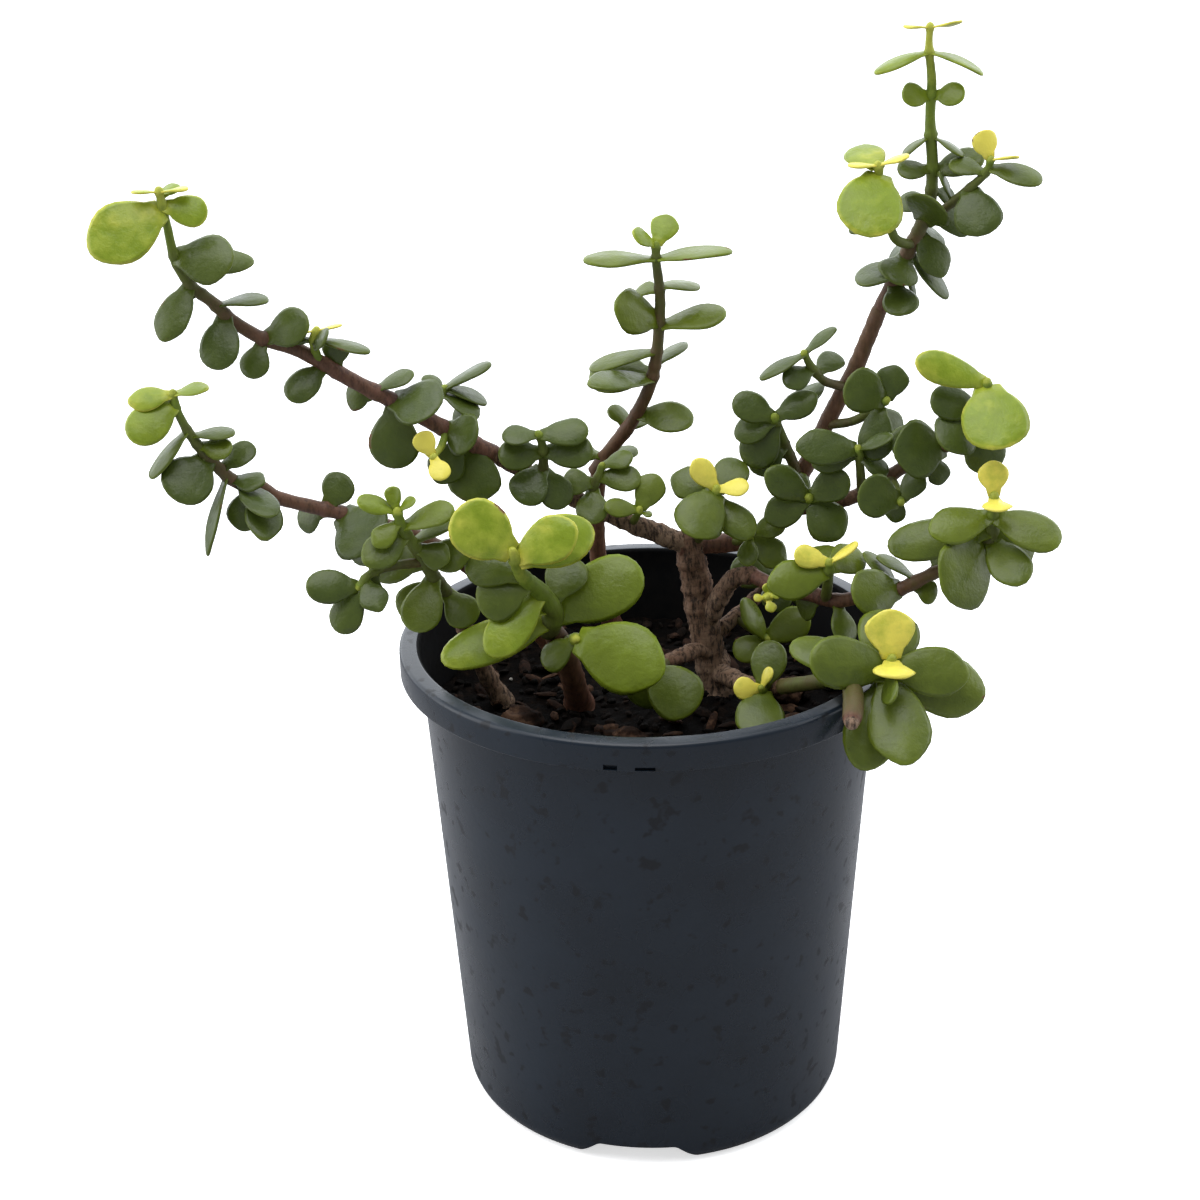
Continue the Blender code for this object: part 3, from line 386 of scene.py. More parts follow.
direction = node(sky, "TexCoord", {}).outputs["Generated"]
backwards = node(sky, "SeparateXYZ", {0: direction}).outputs["Y"]
limits = {"Value": backwards, "From Min": FADE_FROM, "From Max": FADE_TO}
limits.update({"To Min": DIM_FRONT, "To Max": BRIGHT_BACK})
fade = node(sky, "MapRange", limits, interpolation_type="SMOOTHSTEP")
tent = sky.node_tree.nodes["Background"]
put(sky, tent.inputs["Strength"], fade.outputs["Result"])
white = node(sky, "Background", {"Color": WHITE})
surface = sky.node_tree.nodes["World Output"].inputs["Surface"]
split_for_the_camera(sky, tent.outputs[0], white.outputs[0], surface)
print("sky from", DIM_FRONT, "in front to", BRIGHT_BACK, "behind")

# %% [markdown]
# The floor is one pale matt sheet with the faintest unevenness. It is part of the studio and not of the
# object. A real floor this white would light the plant from below as well, so the white that the camera
# sees is mixed in with a Light Path node, as for the sky, and the sheet itself is a softer grey.

# %% The floor
FLOOR_SIZE = 8
FLOOR_TONES = [(0.3, (0.93, 0.93, 0.93)), (0.7, (0.96, 0.96, 0.96))]
FLOOR_GREY = (0.36, 0.36, 0.37, 1)
FLOOR_GLOW = 0.62

floor = fresh(bpy.ops.mesh.primitive_plane_add, "floor", size=FLOOR_SIZE)
pale_floor = new_finish("pale_floor", 0.9, specular=0.1)
dress(pale_floor, ramp(pale_floor, spots(pale_floor, 3.0), FLOOR_TONES))
grey = node(pale_floor, "BsdfDiffuse", {"Color": FLOOR_GREY})
glow = node(pale_floor, "Emission", {"Color": WHITE, "Strength": FLOOR_GLOW})
sheet = pale_floor.node_tree.nodes["Principled BSDF"]
bright = node(pale_floor, "AddShader", {0: sheet.outputs[0], 1: glow.outputs[0]})
surface = pale_floor.node_tree.nodes["Material Output"].inputs["Surface"]
split_for_the_camera(pale_floor, grey.outputs[0], bright.outputs[0], surface)
floor.data.materials.append(pale_floor)
floor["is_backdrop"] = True
print("floor", tuple(round(size, 1) for size in floor.dimensions))

# %% [markdown]
# ## The pot
#
# A nursery pot is injection moulded: a thin tapering wall, a rounded foot, and a thick band round the
# rim that stiffens it. It could be turned with a Screw modifier. Here it is raised ring by ring as a
# solid, by extruding a disc and resizing it, because that shows where each size goes. The hollow is made
# the same way and then cut out of it.

# %% The pot's sizes
POT_HEIGHT = 0.140
RIM_RADIUS = 0.070
RIM_BAND = 0.0078
RIM_LEDGE = 0.0056
BASE_RADIUS = 0.0559
FOOT_ROUND = 0.005
WALL = 0.0012
FLOOR = 0.0015
POT_SIDES = 176

neck = RIM_RADIUS - RIM_LEDGE
band_bottom = POT_HEIGHT - RIM_BAND


def wall_radius(height):
    """The outer radius of the tapering wall at a height."""
    share = (height - FOOT_ROUND) / (band_bottom - FOOT_ROUND)
    return BASE_RADIUS + (neck - BASE_RADIUS) * share


print("neck radius", round(neck, 4), "and radius at the soil", round(wall_radius(SOIL_TOP), 4))

# %% Raising a turned shape
def rounding(radius, height, size, start, end, steps=4):
    """Rings round a rounded edge. The angles are from straight out, turning up."""
    turns = [math.radians(start + (end - start) * step / steps) for step in range(steps + 1)]
    return [(radius + size * math.cos(turn), height + size * math.sin(turn)) for turn in turns]


def add_disc(name, sides, radius, height):
    disc = fresh(bpy.ops.mesh.primitive_circle_add, name, vertices=sides, radius=radius, fill_type="NGON",
                 location=(0, 0, height))
    return apply_place(disc)


def raise_rings(name, rings):
    """Extrudes a disc through rings of (radius, height) into a closed shape."""
    radius, height = rings[0]
    shape = add_disc(name, POT_SIDES, radius, height)
    edit(shape, "SELECT")
    for wide, high in rings[1:]:
        bpy.ops.mesh.extrude_region_move(TRANSFORM_OT_translate={"value": (0, 0, high - height)})
        grow = wide / radius
        bpy.ops.transform.resize(value=(grow, grow, 1), center_override=(0, 0, high))
        radius, height = wide, high
    done()
    return seal(shape)


lip = 1.2 * MM
band_round = 0.5 * MM
pot_rings = [(BASE_RADIUS - FOOT_ROUND, 0)]
pot_rings += rounding(BASE_RADIUS - FOOT_ROUND, FOOT_ROUND, FOOT_ROUND, -75, 0, 5)
pot_rings += [(neck - 0.3 * MM, band_bottom - 0.4 * MM), (neck + 0.2 * MM, band_bottom)]
pot_rings += rounding(RIM_RADIUS - band_round, band_bottom + band_round, band_round, -90, 0)
pot_rings += rounding(RIM_RADIUS - lip, POT_HEIGHT - lip, lip, 0, 90, 5)
pot_rings += [(neck + lip, POT_HEIGHT)]
pot = raise_rings("pot", pot_rings)
print("pot solid:", len(pot.data.polygons), "faces")

# %% [markdown]
# The hollow reaches above the rim, so that the cut is clean. Its upper end is rounded outwards by the
# same amount as the lip.

# %% The hollow
hollow_rings = [(BASE_RADIUS - FOOT_ROUND - 1.5 * MM, FLOOR)]
hollow_rings += rounding(BASE_RADIUS - FOOT_ROUND, FOOT_ROUND + 0.3 * MM, FOOT_ROUND - WALL, -72, 0, 4)
hollow_rings += [(neck - WALL, band_bottom - 1 * MM), (neck - 0.2 * MM, band_bottom + 0.4 * MM)]
hollow_rings += [(neck, POT_HEIGHT - lip)]
hollow_rings += [(neck + lip - lip * math.cos(turn), POT_HEIGHT - lip + lip * math.sin(turn))
                 for turn in (math.radians(step) for step in (20, 45, 70))]
hollow_rings += [(neck + lip, POT_HEIGHT + 0.01 * MM), (neck + lip, POT_HEIGHT + 5 * MM)]
hollow = raise_rings("hollow", hollow_rings)
print("hollow:", len(hollow.data.polygons), "faces")

# %% [markdown]
# The foot has three wide low arches, so that water can run out from under the pot. Each has a roof and
# walls inside the pot, with two drain holes in the roof. A block with sloping ends is cut from the foot
# to make an arch, and a slightly larger one is kept out of the hollow to leave the arch its walls.

# %% Cutting the arches
ARCH_BEARINGS = (-96.5, 23.5, 143.5)
ARCH_WIDTH = 0.037
ARCH_SLOPE = 0.0075
ARCH_HEIGHT = 0.0062
ARCH_DEPTH = 0.012
DRAIN_RADIUS = 0.0025


def cut(target, tool):
    """Cuts one closed shape out of another."""
    only(target)
    knife = target.modifiers.new("cut", "BOOLEAN")
    knife.operation = "DIFFERENCE"
    knife.solver = "EXACT"
    knife.object = tool
    apply_modifiers(target)
    remove(tool)


def wedge(inner, outer, roof, slope, bottom, top, bearing, soften=0.0):
    """A block across the foot, wider at the bottom by a slope at each end."""
    middle = ((inner + outer) / 2, 0, (bottom + top) / 2)
    block = fresh(bpy.ops.mesh.primitive_cube_add, "block", size=1, location=middle)
    block.scale = (outer - inner, roof, top - bottom)
    apply_place(block)
    edit(block)
    pick(block, lambda place: place.z < (bottom + top) / 2)
    grow = (roof + 2 * slope * (top - bottom) / ARCH_HEIGHT) / roof
    bpy.ops.transform.resize(value=(1, grow, 1), center_override=(0, 0, bottom))
    if soften:
        bpy.ops.mesh.select_mode(type="EDGE")
        bpy.ops.mesh.select_all(action="DESELECT")
        shape = bmesh.from_edit_mesh(block.data)
        for edge in shape.edges:
            one, two = (corner.co for corner in edge.verts)
            edge.select = min(one.z, two.z) > top - 0.1 * MM and abs(one.x - two.x) > 1 * MM
        bmesh.update_edit_mesh(block.data)
        bpy.ops.mesh.bevel(offset=soften, segments=4, affect="EDGES")
    done()
    block.rotation_euler.z = math.radians(bearing)
    return apply_place(block)


roof = ARCH_WIDTH - 2 * ARCH_SLOPE
inner_end = BASE_RADIUS - ARCH_DEPTH
for bearing in ARCH_BEARINGS:
    cut(hollow, wedge(inner_end - WALL, RIM_RADIUS, ARCH_WIDTH + 2 * WALL, 0, -WALL,
                      ARCH_HEIGHT + WALL, bearing, soften=1.5 * MM))
cut(pot, hollow)
for bearing in ARCH_BEARINGS:
    cut(pot, wedge(inner_end, BASE_RADIUS + ARCH_DEPTH, roof, ARCH_SLOPE, -ARCH_HEIGHT,
                   ARCH_HEIGHT, bearing, soften=0.9 * MM))
print("arches at", ARCH_BEARINGS)

# %% [markdown]
# Two drain holes go through each arch's roof. Two low slots in the rim's band take a plant label.

# %% Drain holes and label slots
for bearing in ARCH_BEARINGS:
    turn = Matrix.Rotation(math.radians(bearing), 3, "Z")
    for side in (-1, 1):
        hole = turn @ Vector((BASE_RADIUS - ARCH_DEPTH / 2 - WALL, side * roof / 4, ARCH_HEIGHT))
        drill = fresh(bpy.ops.mesh.primitive_cylinder_add, "drill", vertices=24, radius=DRAIN_RADIUS,
                      depth=6 * WALL, location=hole)
        cut(pot, apply_place(drill))

SLOTS = [(-99.7, 3.6 * MM, 1.5 * MM), (-92.4, 5.2 * MM, 1.0 * MM)]
SLOT_FOOT = band_bottom + 0.5 * MM
SLOT_DEPTH = 1.3 * MM
for bearing, width, height in SLOTS:
    cut(pot, wedge(RIM_RADIUS - SLOT_DEPTH, RIM_RADIUS + 2 * MM, width, 0, SLOT_FOOT,
                   SLOT_FOOT + height, bearing))
seal(pot)
smooth(pot, 38)
print("pot:", len(pot.data.polygons), "faces")

# %% [markdown]
# The plastic is black with a blue cast. Cheap recycled plastic is never even: darker matt flecks a few
# millimetres across lie all over it, handling leaves the foot and the rim a little dusty, and its gloss
# changes from place to place. The colour stays very dark, because nearly all of what one sees on such
# a surface is reflection. Inside, wet soil has stained the wall matt, and the colour there is painted
# darker still as the shade inside the pot, so that side has its own finish.

# %% Black plastic
black_plastic = new_finish("black_plastic", 0.28, specular=0.41)
flecks = between(black_plastic, spots(black_plastic, 215, 2, rough=0.5), 0.60, 0.68)
clouds = spots(black_plastic, 38, 3)
dust = between(black_plastic, spots(black_plastic, 900, 2), 0.66, 0.74, 0, 0.35)
PLASTIC_TONES = [(0.3, (0.0055, 0.0105, 0.0180)), (0.7, (0.0095, 0.0170, 0.0285))]
plastic = ramp(black_plastic, clouds, PLASTIC_TONES)
plastic = blend(black_plastic, flecks, plastic, (0.0020, 0.0040, 0.0080, 1))
plastic = blend(black_plastic, dust, plastic, (0.018, 0.022, 0.027, 1))
sheen_change = sway(black_plastic, clouds, 0.22, 0.33)
gloss = plus(black_plastic, sheen_change, times(black_plastic, flecks, 0.14))
dress(black_plastic, plastic, gloss, spots(black_plastic, 650, 3), 0.00006, 0.5)
settle(pot, black_plastic, "black_plastic", "pot")
print("pot finished outside")

# %% The stained inside, with painted shade
# These tones are darker than a soil stain alone: they are painted shade, because the inside of the pot
# lies in shadow.
STAIN_AND_SHADE_TONES = [(0.35, (0.0010, 0.0012, 0.0016)), (0.7, (0.0040, 0.0036, 0.0034))]
stained_and_shaded_plastic = new_finish("stained_and_shaded_plastic", 0.7, specular=0.07)
stains = spots(stained_and_shaded_plastic, 240, 4)
stain_and_shade_tone = ramp(stained_and_shaded_plastic, stains, STAIN_AND_SHADE_TONES)
dress(stained_and_shaded_plastic, stain_and_shade_tone, sway(stained_and_shaded_plastic, stains, 0.62, 0.85), stains, 0.0001)
pot.data.materials.append(stained_and_shaded_plastic)
# Faces that look inwards, up over the inner part of the lip, take the stained finish with its painted
# shade.
inside = 0
for face in pot.data.polygons:
    flat = Vector(face.center.xy)
    inwards = flat.length > 1 * MM and Vector(face.normal.xy).dot(flat.normalized()) < -0.5
    if inwards and face.center.z > FLOOR + 2 * MM and flat.length < neck + 0.6 * lip:
        face.material_index = 1
        inside += 1
print("pot finished, with", inside, "stained faces inside")

# %% [markdown]
# ## The potting mix
#
# The mix is bark, fibre and peat, watered and dark, and its colours are painted darker still as the shade
# inside the pot. Its surface is uneven at every size, so it starts as a disc with many rings, is pushed up
# and down by three cloud textures, for mounds, lumps and grit, and then gets its side and its underside.

# %% The potting mix's surface
MIX_GAP = 0.3 * MM
SOIL_SIDES = 120
SOIL_RINGS = 44
soil_radius = wall_radius(SOIL_TOP) - WALL - MIX_GAP


def ruffle(obj, name, size, strength, direction="NORMAL"):
    """Pushes a surface in and out by a cloudy texture, and applies it."""
    texture = bpy.data.textures.new(name, "CLOUDS")
    texture.noise_scale = size
    push = obj.modifiers.new(name, "DISPLACE")
    push.texture = texture
    push.texture_coords = "LOCAL"
    push.direction = direction
    push.strength = strength
    push.mid_level = 0.5
    return apply_modifiers(obj)


soil = add_disc("potting_mix_bed", SOIL_SIDES, soil_radius, SOIL_TOP - 0.6 * MM)
edit(soil, "SELECT")
for ring in range(SOIL_RINGS):
    bpy.ops.mesh.inset(thickness=soil_radius / (SOIL_RINGS + 1))
bpy.ops.mesh.poke()
done()
ruffle(soil, "mounds", 0.016, 3.0 * MM, "Z")
ruffle(soil, "lumps", 0.0032, 2.4 * MM, "Z")
ruffle(soil, "grit", 0.0012, 0.9 * MM)
print("surface:", len(soil.data.polygons), "faces")

# %% Its side and underside
SKIRT = 10 * MM
soil_bottom = ARCH_HEIGHT + WALL + 0.4 * MM
edit(soil)
bpy.ops.mesh.select_mode(type="EDGE")
bpy.ops.mesh.select_all(action="SELECT")
bpy.ops.mesh.region_to_loop()
for drop in (-SKIRT, soil_bottom - SOIL_TOP + SKIRT):
    bpy.ops.mesh.extrude_edges_move(TRANSFORM_OT_translate={"value": (0, 0, drop)})
low = (wall_radius(soil_bottom) - WALL - MIX_GAP) / soil_radius
bpy.ops.transform.resize(value=(low, low, 0), center_override=(0, 0, soil_bottom))
bpy.ops.mesh.edge_face_add()
done()
seal(soil)
smooth(soil, 60)
print("potting mix:", len(soil.data.polygons), "faces")

# %% Potting mix
# Painted shade: these tones are darker than wet mix, because the mix lies in the shadow inside the pot.
MIX_AND_SHADE_TONES = [
    (0.30, (0.0008, 0.0006, 0.0005)), (0.52, (0.0024, 0.0016, 0.0012)), (0.66, (0.010, 0.006, 0.004)),
    (0.80, (0.05, 0.03, 0.019))]
potting_mix = new_finish("potting_mix", 0.95, specular=0.05)
clumps = spots(potting_mix, 260, 6, rough=0.7)
dress(potting_mix, ramp(potting_mix, clumps, MIX_AND_SHADE_TONES), between(potting_mix, clumps, 0.3, 0.8, 0.75, 1.0),
      spots(potting_mix, 900, 5), 0.0006, 0.8)
settle(soil, potting_mix, "potting_mix", "potting_mix")
print("potting mix finished")

# %% [markdown]
# Loose crumbs and splinters lie on the mix. Hundreds of them are seen together and none on its own, so
# one rough crumb with few faces is modelled, and its copies are turned and scaled differently. Each copy
# has a number for its own tone, because a heap in which every crumb has one colour looks like paint.

# %% One crumb
crumb = fresh(bpy.ops.mesh.primitive_ico_sphere_add, "crumb", subdivisions=1, radius=0.5)
edit(crumb, "SELECT")
bpy.ops.mesh.bevel(offset=0.09, segments=1, affect="EDGES")
bpy.ops.transform.vertex_random(offset=0.07, seed=4)
done()
print("crumb:", len(crumb.data.polygons), "faces")

# %% Scattering
def on_the_soil(x, y):
    """The point of the potting mix straight below a point over the pot."""
    hit, place, normal, face = soil.ray_cast(Vector((x, y, 0.2)), Vector((0, 0, -1)))
    return place if hit else Vector((x, y, SOIL_TOP))


def scatter(name, count, seed, long, wide, thick, tones, tilt=0.5):
    """Strews copies of the crumb over the potting mix. Sizes and tones are (least, most)."""
    chance = random.Random(seed)
    heap = []
    for copy_number in range(count):
        out = (soil_radius - 3 * MM) * math.sqrt(chance.random())
        bearing = chance.uniform(0, 2 * math.pi)
        place = on_the_soil(out * math.cos(bearing), out * math.sin(bearing))
        size = [chance.uniform(*span) * MM for span in (long, wide, thick)]
        turn = Matrix.Rotation(chance.uniform(0, 2 * math.pi), 4, "Z")
        lean = Matrix.Rotation(chance.uniform(-tilt, tilt), 4, "X")
        lean = lean @ Matrix.Rotation(chance.uniform(-tilt, tilt), 4, "Y")
        place.z += size[2] * chance.uniform(0.1, 0.45)
        copy = crumb.data.copy()
        copy.transform(Matrix.Translation(place) @ turn @ lean @ Matrix.Diagonal((*size, 1)))
        store(copy, "tone", chance.uniform(*tones))
        heap.append(add_mesh("crumb", copy))
    return smooth(join(name, heap), 25)


# The crumbs take only the darkest bark tones. This is dark wet bark, and also painted shade for the inside
# of the pot.
crumbs = scatter("soil_crumbs", 560, 11, (1.6, 4.8), (1.3, 3.6), (1.0, 2.6), (0.0, 0.42))
splinters = scatter("bark_splinters", 170, 12, (4, 13), (2.4, 6.0), (1.2, 3.4), (0.15, 1.0), tilt=0.6)
grains = scatter("pale_grains", 9, 13, (1.0, 1.9), (0.9, 1.6), (0.8, 1.4), (1.0, 1.0))
remove(crumb)
print("crumbs, splinters and grains:", [len(heap.data.polygons) for heap in (crumbs, splinters, grains)])

# %% [markdown]
# Splinters of bark run from nearly black to fox brown, with fine fibres along them. The pale grains are
# perlite, a puffed volcanic glass.

# %% Crumbs, splinters and perlite
BARK_TONES = [
    (0.0, (0.002, 0.0015, 0.001)), (0.4, (0.007, 0.004, 0.0026)), (0.75, (0.032, 0.016, 0.010)),
    (1.0, (0.12, 0.066, 0.040))]


def bark_finish(name, tone_of):
    """Broken bark. tone_of makes the number that picks the colour."""
    finish = new_finish(name, 0.9, specular=0.12)
    fibres = spots(finish, 420, 5, rough=0.7)
    tone = plus(finish, tone_of(finish), sway(finish, fibres, -0.28, 0.22))
    return dress(finish, ramp(finish, tone, BARK_TONES), sway(finish, fibres, 0.8, 0.98),
                 spots(finish, 1100, 4, rough=0.7), 0.0004, 0.8)


loose_bark = bark_finish("loose_bark", lambda finish: mark(finish, "tone"))
settle(crumbs, loose_bark, "potting_mix")
settle(splinters, loose_bark, "bark_chip")
PERLITE_TONES = [(0.35, (0.30, 0.28, 0.25)), (0.65, (0.55, 0.53, 0.49))]
perlite = new_finish("perlite", 0.95)
perlite_tone = ramp(perlite, spots(perlite, 1500), PERLITE_TONES)
dress(perlite, perlite_tone, None, spots(perlite, 2500), 0.0002, 0.7)
settle(grains, perlite, "potting_mix")
print("loose pieces finished")

# %% [markdown]
# Six larger chips lie among them. The measured model holds each as a simple lump, so a copy of the lump
# is refined: its corners are merged, its faces are divided, and two textures break its surface up.

# %% Bark chips
bark_chip = bark_finish("bark_chip", lambda finish: sway(finish, spots(finish, 90, 2), 0.50, 1.05))
chip_names = sorted(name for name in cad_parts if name.startswith("bark_chip"))
for name in chip_names:
    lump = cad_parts[name]
    chip = add_mesh(name + "_rough", lump.data.copy())
    chip.matrix_world = lump.matrix_world
    seal(apply_place(chip))
    edit(chip, "SELECT")
    bpy.ops.mesh.subdivide(number_cuts=5)
    done()
    ruffle(chip, "flakes", 0.0035, 2.2 * MM)
    ruffle(chip, "fibres", 0.0011, 0.8 * MM)
    smooth(chip, 35)
    settle(chip, bark_chip, "bark_chip", name)
print("chips:", chip_names)

# %% [markdown]
# ## Where the wood runs
#
# Each stem and twig follows a few points, given in millimetres to the right, to the back and up from the
# middle of the potting mix. With them go its kind, and its radius at its foot and at its tip. They are
# the same lines that the measured model grew on, so each new stem lies where its plain one was.

# %% The lines of the stems and twigs
LINES = {
    "trunk": ("old", 4.7, 4, [(20, 9, 0.3), (18, 9, 10), (16, 8, 22), (14, 8, 33), (12, 8, 46)]),
    "back_stem": ("young", 2.8, 2.2, [(-9.4, 53.1, 0.3), (-13, 47, 19), (-14, 42, 40), (-13, 36, 58)]),
    "front_stem": ("young", 3.4, 3, [(-20, 0, 0.3), (-21, -6, 9), (-23, -12, 20), (-26, -17, 30)]),
    "left_front_stem": ("old", 2.6, 2, [(-42, 3, 0.3), (-48, -2, 16), (-53, -12, 37)]),
    "left_low_branch": ("young", 2.6, 2, [
        (-22, 18, 0.3), (-34, 12, 22), (-48, 4, 40), (-62, -3, 53), (-78, -7, 61)]),
    "left_long_branch": ("old", 2.9, 2.2, [
        (12, 8, 45), (2, 6, 50), (-6, 5, 54), (-16, 4, 59), (-25, 3, 65), (-34, 2, 71), (-42, 1, 76)]),
    "right_tall_branch": ("young", 2.8, 2.1, [
        (12, 8, 45), (24, 10, 45), (31, 11, 46), (36, 11, 51), (43, 12, 63), (50, 13, 78), (58, 14, 94),
        (64, 14, 110)]),
    "ringed_branch": ("old", 2.7, 2.4, [(17, 7, 22), (20, 3, 31), (24, 0, 38), (29, -2, 40)]),
    "right_middle_branch": ("young", 2.2, 1.8, [
        (38, 11, 54), (43, 7, 56), (50, 4, 58), (59, 1, 62), (66, -2, 68), (72, -4, 73)]),
    "right_front_stem": ("old", 2.8, 2, [(19, 9, 6), (25, -3, 8), (31, -14, 10), (37, -24, 16)]),
    "low_left_spur": ("old", 2.4, 2, [(19, 9, 13), (12, 2, 15), (6, -4, 15)]),
    "low_right_spur": ("old", 2.2, 1.8, [(18, 9, 16), (27, 14, 22), (33, 18, 26)]),
    "front_lime_shoot": ("lime", 2.7, 1.5, [
        (-27, -19, 33.5), (-26, -21, 38), (-29, -24, 45), (-34, -28, 52), (-36, -31, 60)]),
    "front_broad_leaf_shoot": ("lime", 1.8, 1.5, [(-24, -14, 25), (-21, -22, 30), (-20, -28, 33)]),
    "right_front_shoot": ("olive", 1.9, 1.5, [
        (37.5, -25, 16.5), (46, -33, 21.5), (54, -39, 26), (60.7, -44.1, 26.5), (61.5, -45.5, 30),
        (61.9, -46.6, 34)]),
    "broken_front_twig": ("olive", 2.2, 2.6, [(52, -38, 26), (51.4, -53.2, 26), (50, -61.8, 23)]),
    "right_low_shoot": ("olive", 1.9, 1.4, [
        (30, -3, 39.5), (36, -8, 38), (44, -12, 38), (51, -15, 37), (60, -18, 40), (67, -20, 42),
        (75, -22, 47), (84, -24, 52), (90, -25, 58), (90, -26, 65), (90, -27, 71)]),
    "right_low_upright": ("olive", 1.4, 1.1, [(48, -14, 37), (48, -19, 44), (48, -21, 51)]),
    "right_low_bud": ("yellow", 1.1, 0.9, [(34, -7, 38), (33, -11, 37), (32, -14, 38)]),
    "right_middle_shoot": ("dark", 1.7, 1.2, [
        (72.7, -4.2, 73.5), (77, -7, 76), (82, -10, 81), (87, -12, 87), (89, -14, 94), (89, -14, 98)]),
    "right_middle_twig": ("dark", 1.2, 1, [(66, -2, 68), (67.5, -8, 66), (68, -12, 64)]),
    "right_top_shoot": ("dark", 1.8, 1, [
        (65, 14, 112), (69, 14, 121), (73, 15, 129), (76, 15, 136), (77, 15, 141), (77, 15, 150),
        (76, 15, 161), (76, 15, 171), (75, 15, 179), (75, 15, 185)]),
    "top_left_twig": ("lime", 1.2, 0.9, [
        (72, 14, 128), (67, 9, 131), (64, 6, 139), (62, 4, 147), (61, 3, 152)]),
    "top_right_twig": ("dark", 1.2, 0.9, [
        (76, 15, 134), (80, 11, 138), (85, 9, 143), (90, 8, 148), (91, 7, 152)]),
    "tall_left_twig": ("dark", 1.2, 0.9, [(55, 13, 89), (49, 9, 92), (45, 7, 97), (43, 6, 101)]),
    "tall_bushy_twig": ("dark", 1.4, 1, [(43, 12, 63), (39, 8, 73), (36, 5, 81), (35, 3, 84)]),
    "tall_right_twig": ("dark", 1.2, 1, [(50, 13, 78), (57, 7, 81), (62, 2, 86), (65, 0, 89)]),
    "middle_upright_twig": ("dark", 1.2, 1, [(59, 1, 62), (58, -3, 70), (57, -4, 77)]),
    "middle_front_twig": ("dark", 1.2, 1, [(33, 11, 48), (40, 3, 56), (44, -1, 61), (44, -4, 63)]),
    "crown_shoot": ("olive", 1.3, 1, [(13, 8, 45), (17, 2, 54), (19, -1, 61), (19, -3, 66)]),
    "crown_right_twig": ("olive", 1.2, 0.9, [(24, 10, 45), (27, 4, 48), (29, 1, 51)]),
    "centre_shoot": ("olive", 1.9, 1.1, [
        (-12.7, 35.5, 60), (-9, 33, 66), (-3, 30, 75), (2, 28, 86), (4, 27, 96), (5, 26, 111),
        (4, 25, 122), (4, 25, 127)]),
    "branch_top_twig": ("dark", 1.3, 1, [(-29, 2.5, 68), (-28, -1, 73), (-28, -3, 79), (-29, -4, 83)]),
    "branch_middle_twig": ("dark", 1.2, 0.9, [(-17, 4, 60), (-14, 3, 66), (-12, 4, 71)]),
    "branch_right_twig": ("olive", 1.1, 0.8, [(-4, 5.5, 53), (-3, 0, 57), (-2, -2, 60)]),
    "left_upper_shoot": ("dark", 2.1, 1.1, [
        (-44, 0.6, 77.5), (-50, 0, 81), (-67, -2, 92), (-78, -4, 99), (-91, -6, 108), (-100, -8, 112),
        (-107, -9, 117), (-112, -11, 123), (-117, -12, 128), (-120, -13, 135), (-121, -14, 144),
        (-122, -15, 153)]),
    "left_side_sprout": ("yellow", 1.1, 0.9, [(-86, -5.5, 104), (-87, -7, 110), (-86, -7, 114)]),
    "left_node_twig": ("dark", 1.1, 0.9, [(-59, -1, 87), (-56, 3, 91), (-54, 4, 94)]),
    "left_middle_sprout": ("yellow", 1, 0.8, [(-54, -0.5, 83), (-55, -7, 81), (-57, -13, 80)]),
    "left_low_shoot": ("dark", 1.9, 1, [
        (-79.5, -7.2, 61.6), (-83, -8, 63), (-98, -10, 68), (-103, -12, 72), (-110, -14, 75),
        (-115, -15, 81), (-119, -16, 87), (-122, -18, 95), (-123, -18, 101)]),
    "left_front_shoot": ("olive", 1.8, 1.1, [
        (-53.4, -12.8, 38.4), (-58, -18, 48), (-62, -22, 58), (-65, -25, 65), (-66, -26, 70)]),
    "left_front_side_twig": ("dark", 1.2, 0.9, [
        (-60, -20, 53), (-68, -25, 54), (-74, -28, 53), (-77, -30, 50)]),
    "low_left_leaf_twig": ("dark", 1.3, 1, [(5, -5, 15), (2, -9, 15), (0, -12, 16)]),
    "low_right_leaf_twig": ("dark", 1.3, 1, [(31, -14, 10), (31, -19, 12), (30, -23, 15)]),
    "low_back_leaf_twig": ("dark", 1.3, 1, [(34, 18.5, 26.5), (37, 18, 30), (40, 17, 32)]),
    "low_middle_leaf_twig": ("olive", 1.2, 0.9, [(25, 13, 21), (31, 8, 18), (34, 5, 17)]),
}
STEMS = [name for name, line in LINES.items() if line[0] in ("old", "young")]
SHOOTS = [name for name in LINES if name not in STEMS]
print(len(STEMS), "stems and", len(SHOOTS), "shoots")

# %% A smooth line
def from_soil(point):
    return Vector(point) * MM + Vector((0, 0, SOIL_TOP))


def smooth_line(points, spacing):
    """Small steps along the smooth line through some points: (place along, point) for each."""
    line = []
    for span in range(len(points) - 1):
        here, there = points[span], points[span + 1]
        leave = (there - points[max(span - 1, 0)]) / 2
        arrive = (points[min(span + 2, len(points) - 1)] - here) / 2
        steps = max(2, round((there - here).length / spacing))
        for step in range(steps):
            share = step / steps
            square, cube = share ** 2, share ** 3
            point = here * (2 * cube - 3 * square + 1) + leave * (cube - 2 * square + share)
            line.append((span + share, point + there * (3 * square - 2 * cube) + arrive * (cube - square)))
    line.append((len(points) - 1.0, points[-1]))
    return line


trunk_line = smooth_line([from_soil(point) for point in LINES["trunk"][3]], 0.7 * MM)
print("steps up the trunk:", len(trunk_line))

# %% [markdown]
# A stem could be skinned from edges, but then its thickness is hard to control. A curve with a round
# bevel takes a radius at every point, so swellings, old leaf scars and a tapering tip are all just
# numbers along it. It is turned into a mesh afterwards, for the cracks in its bark.

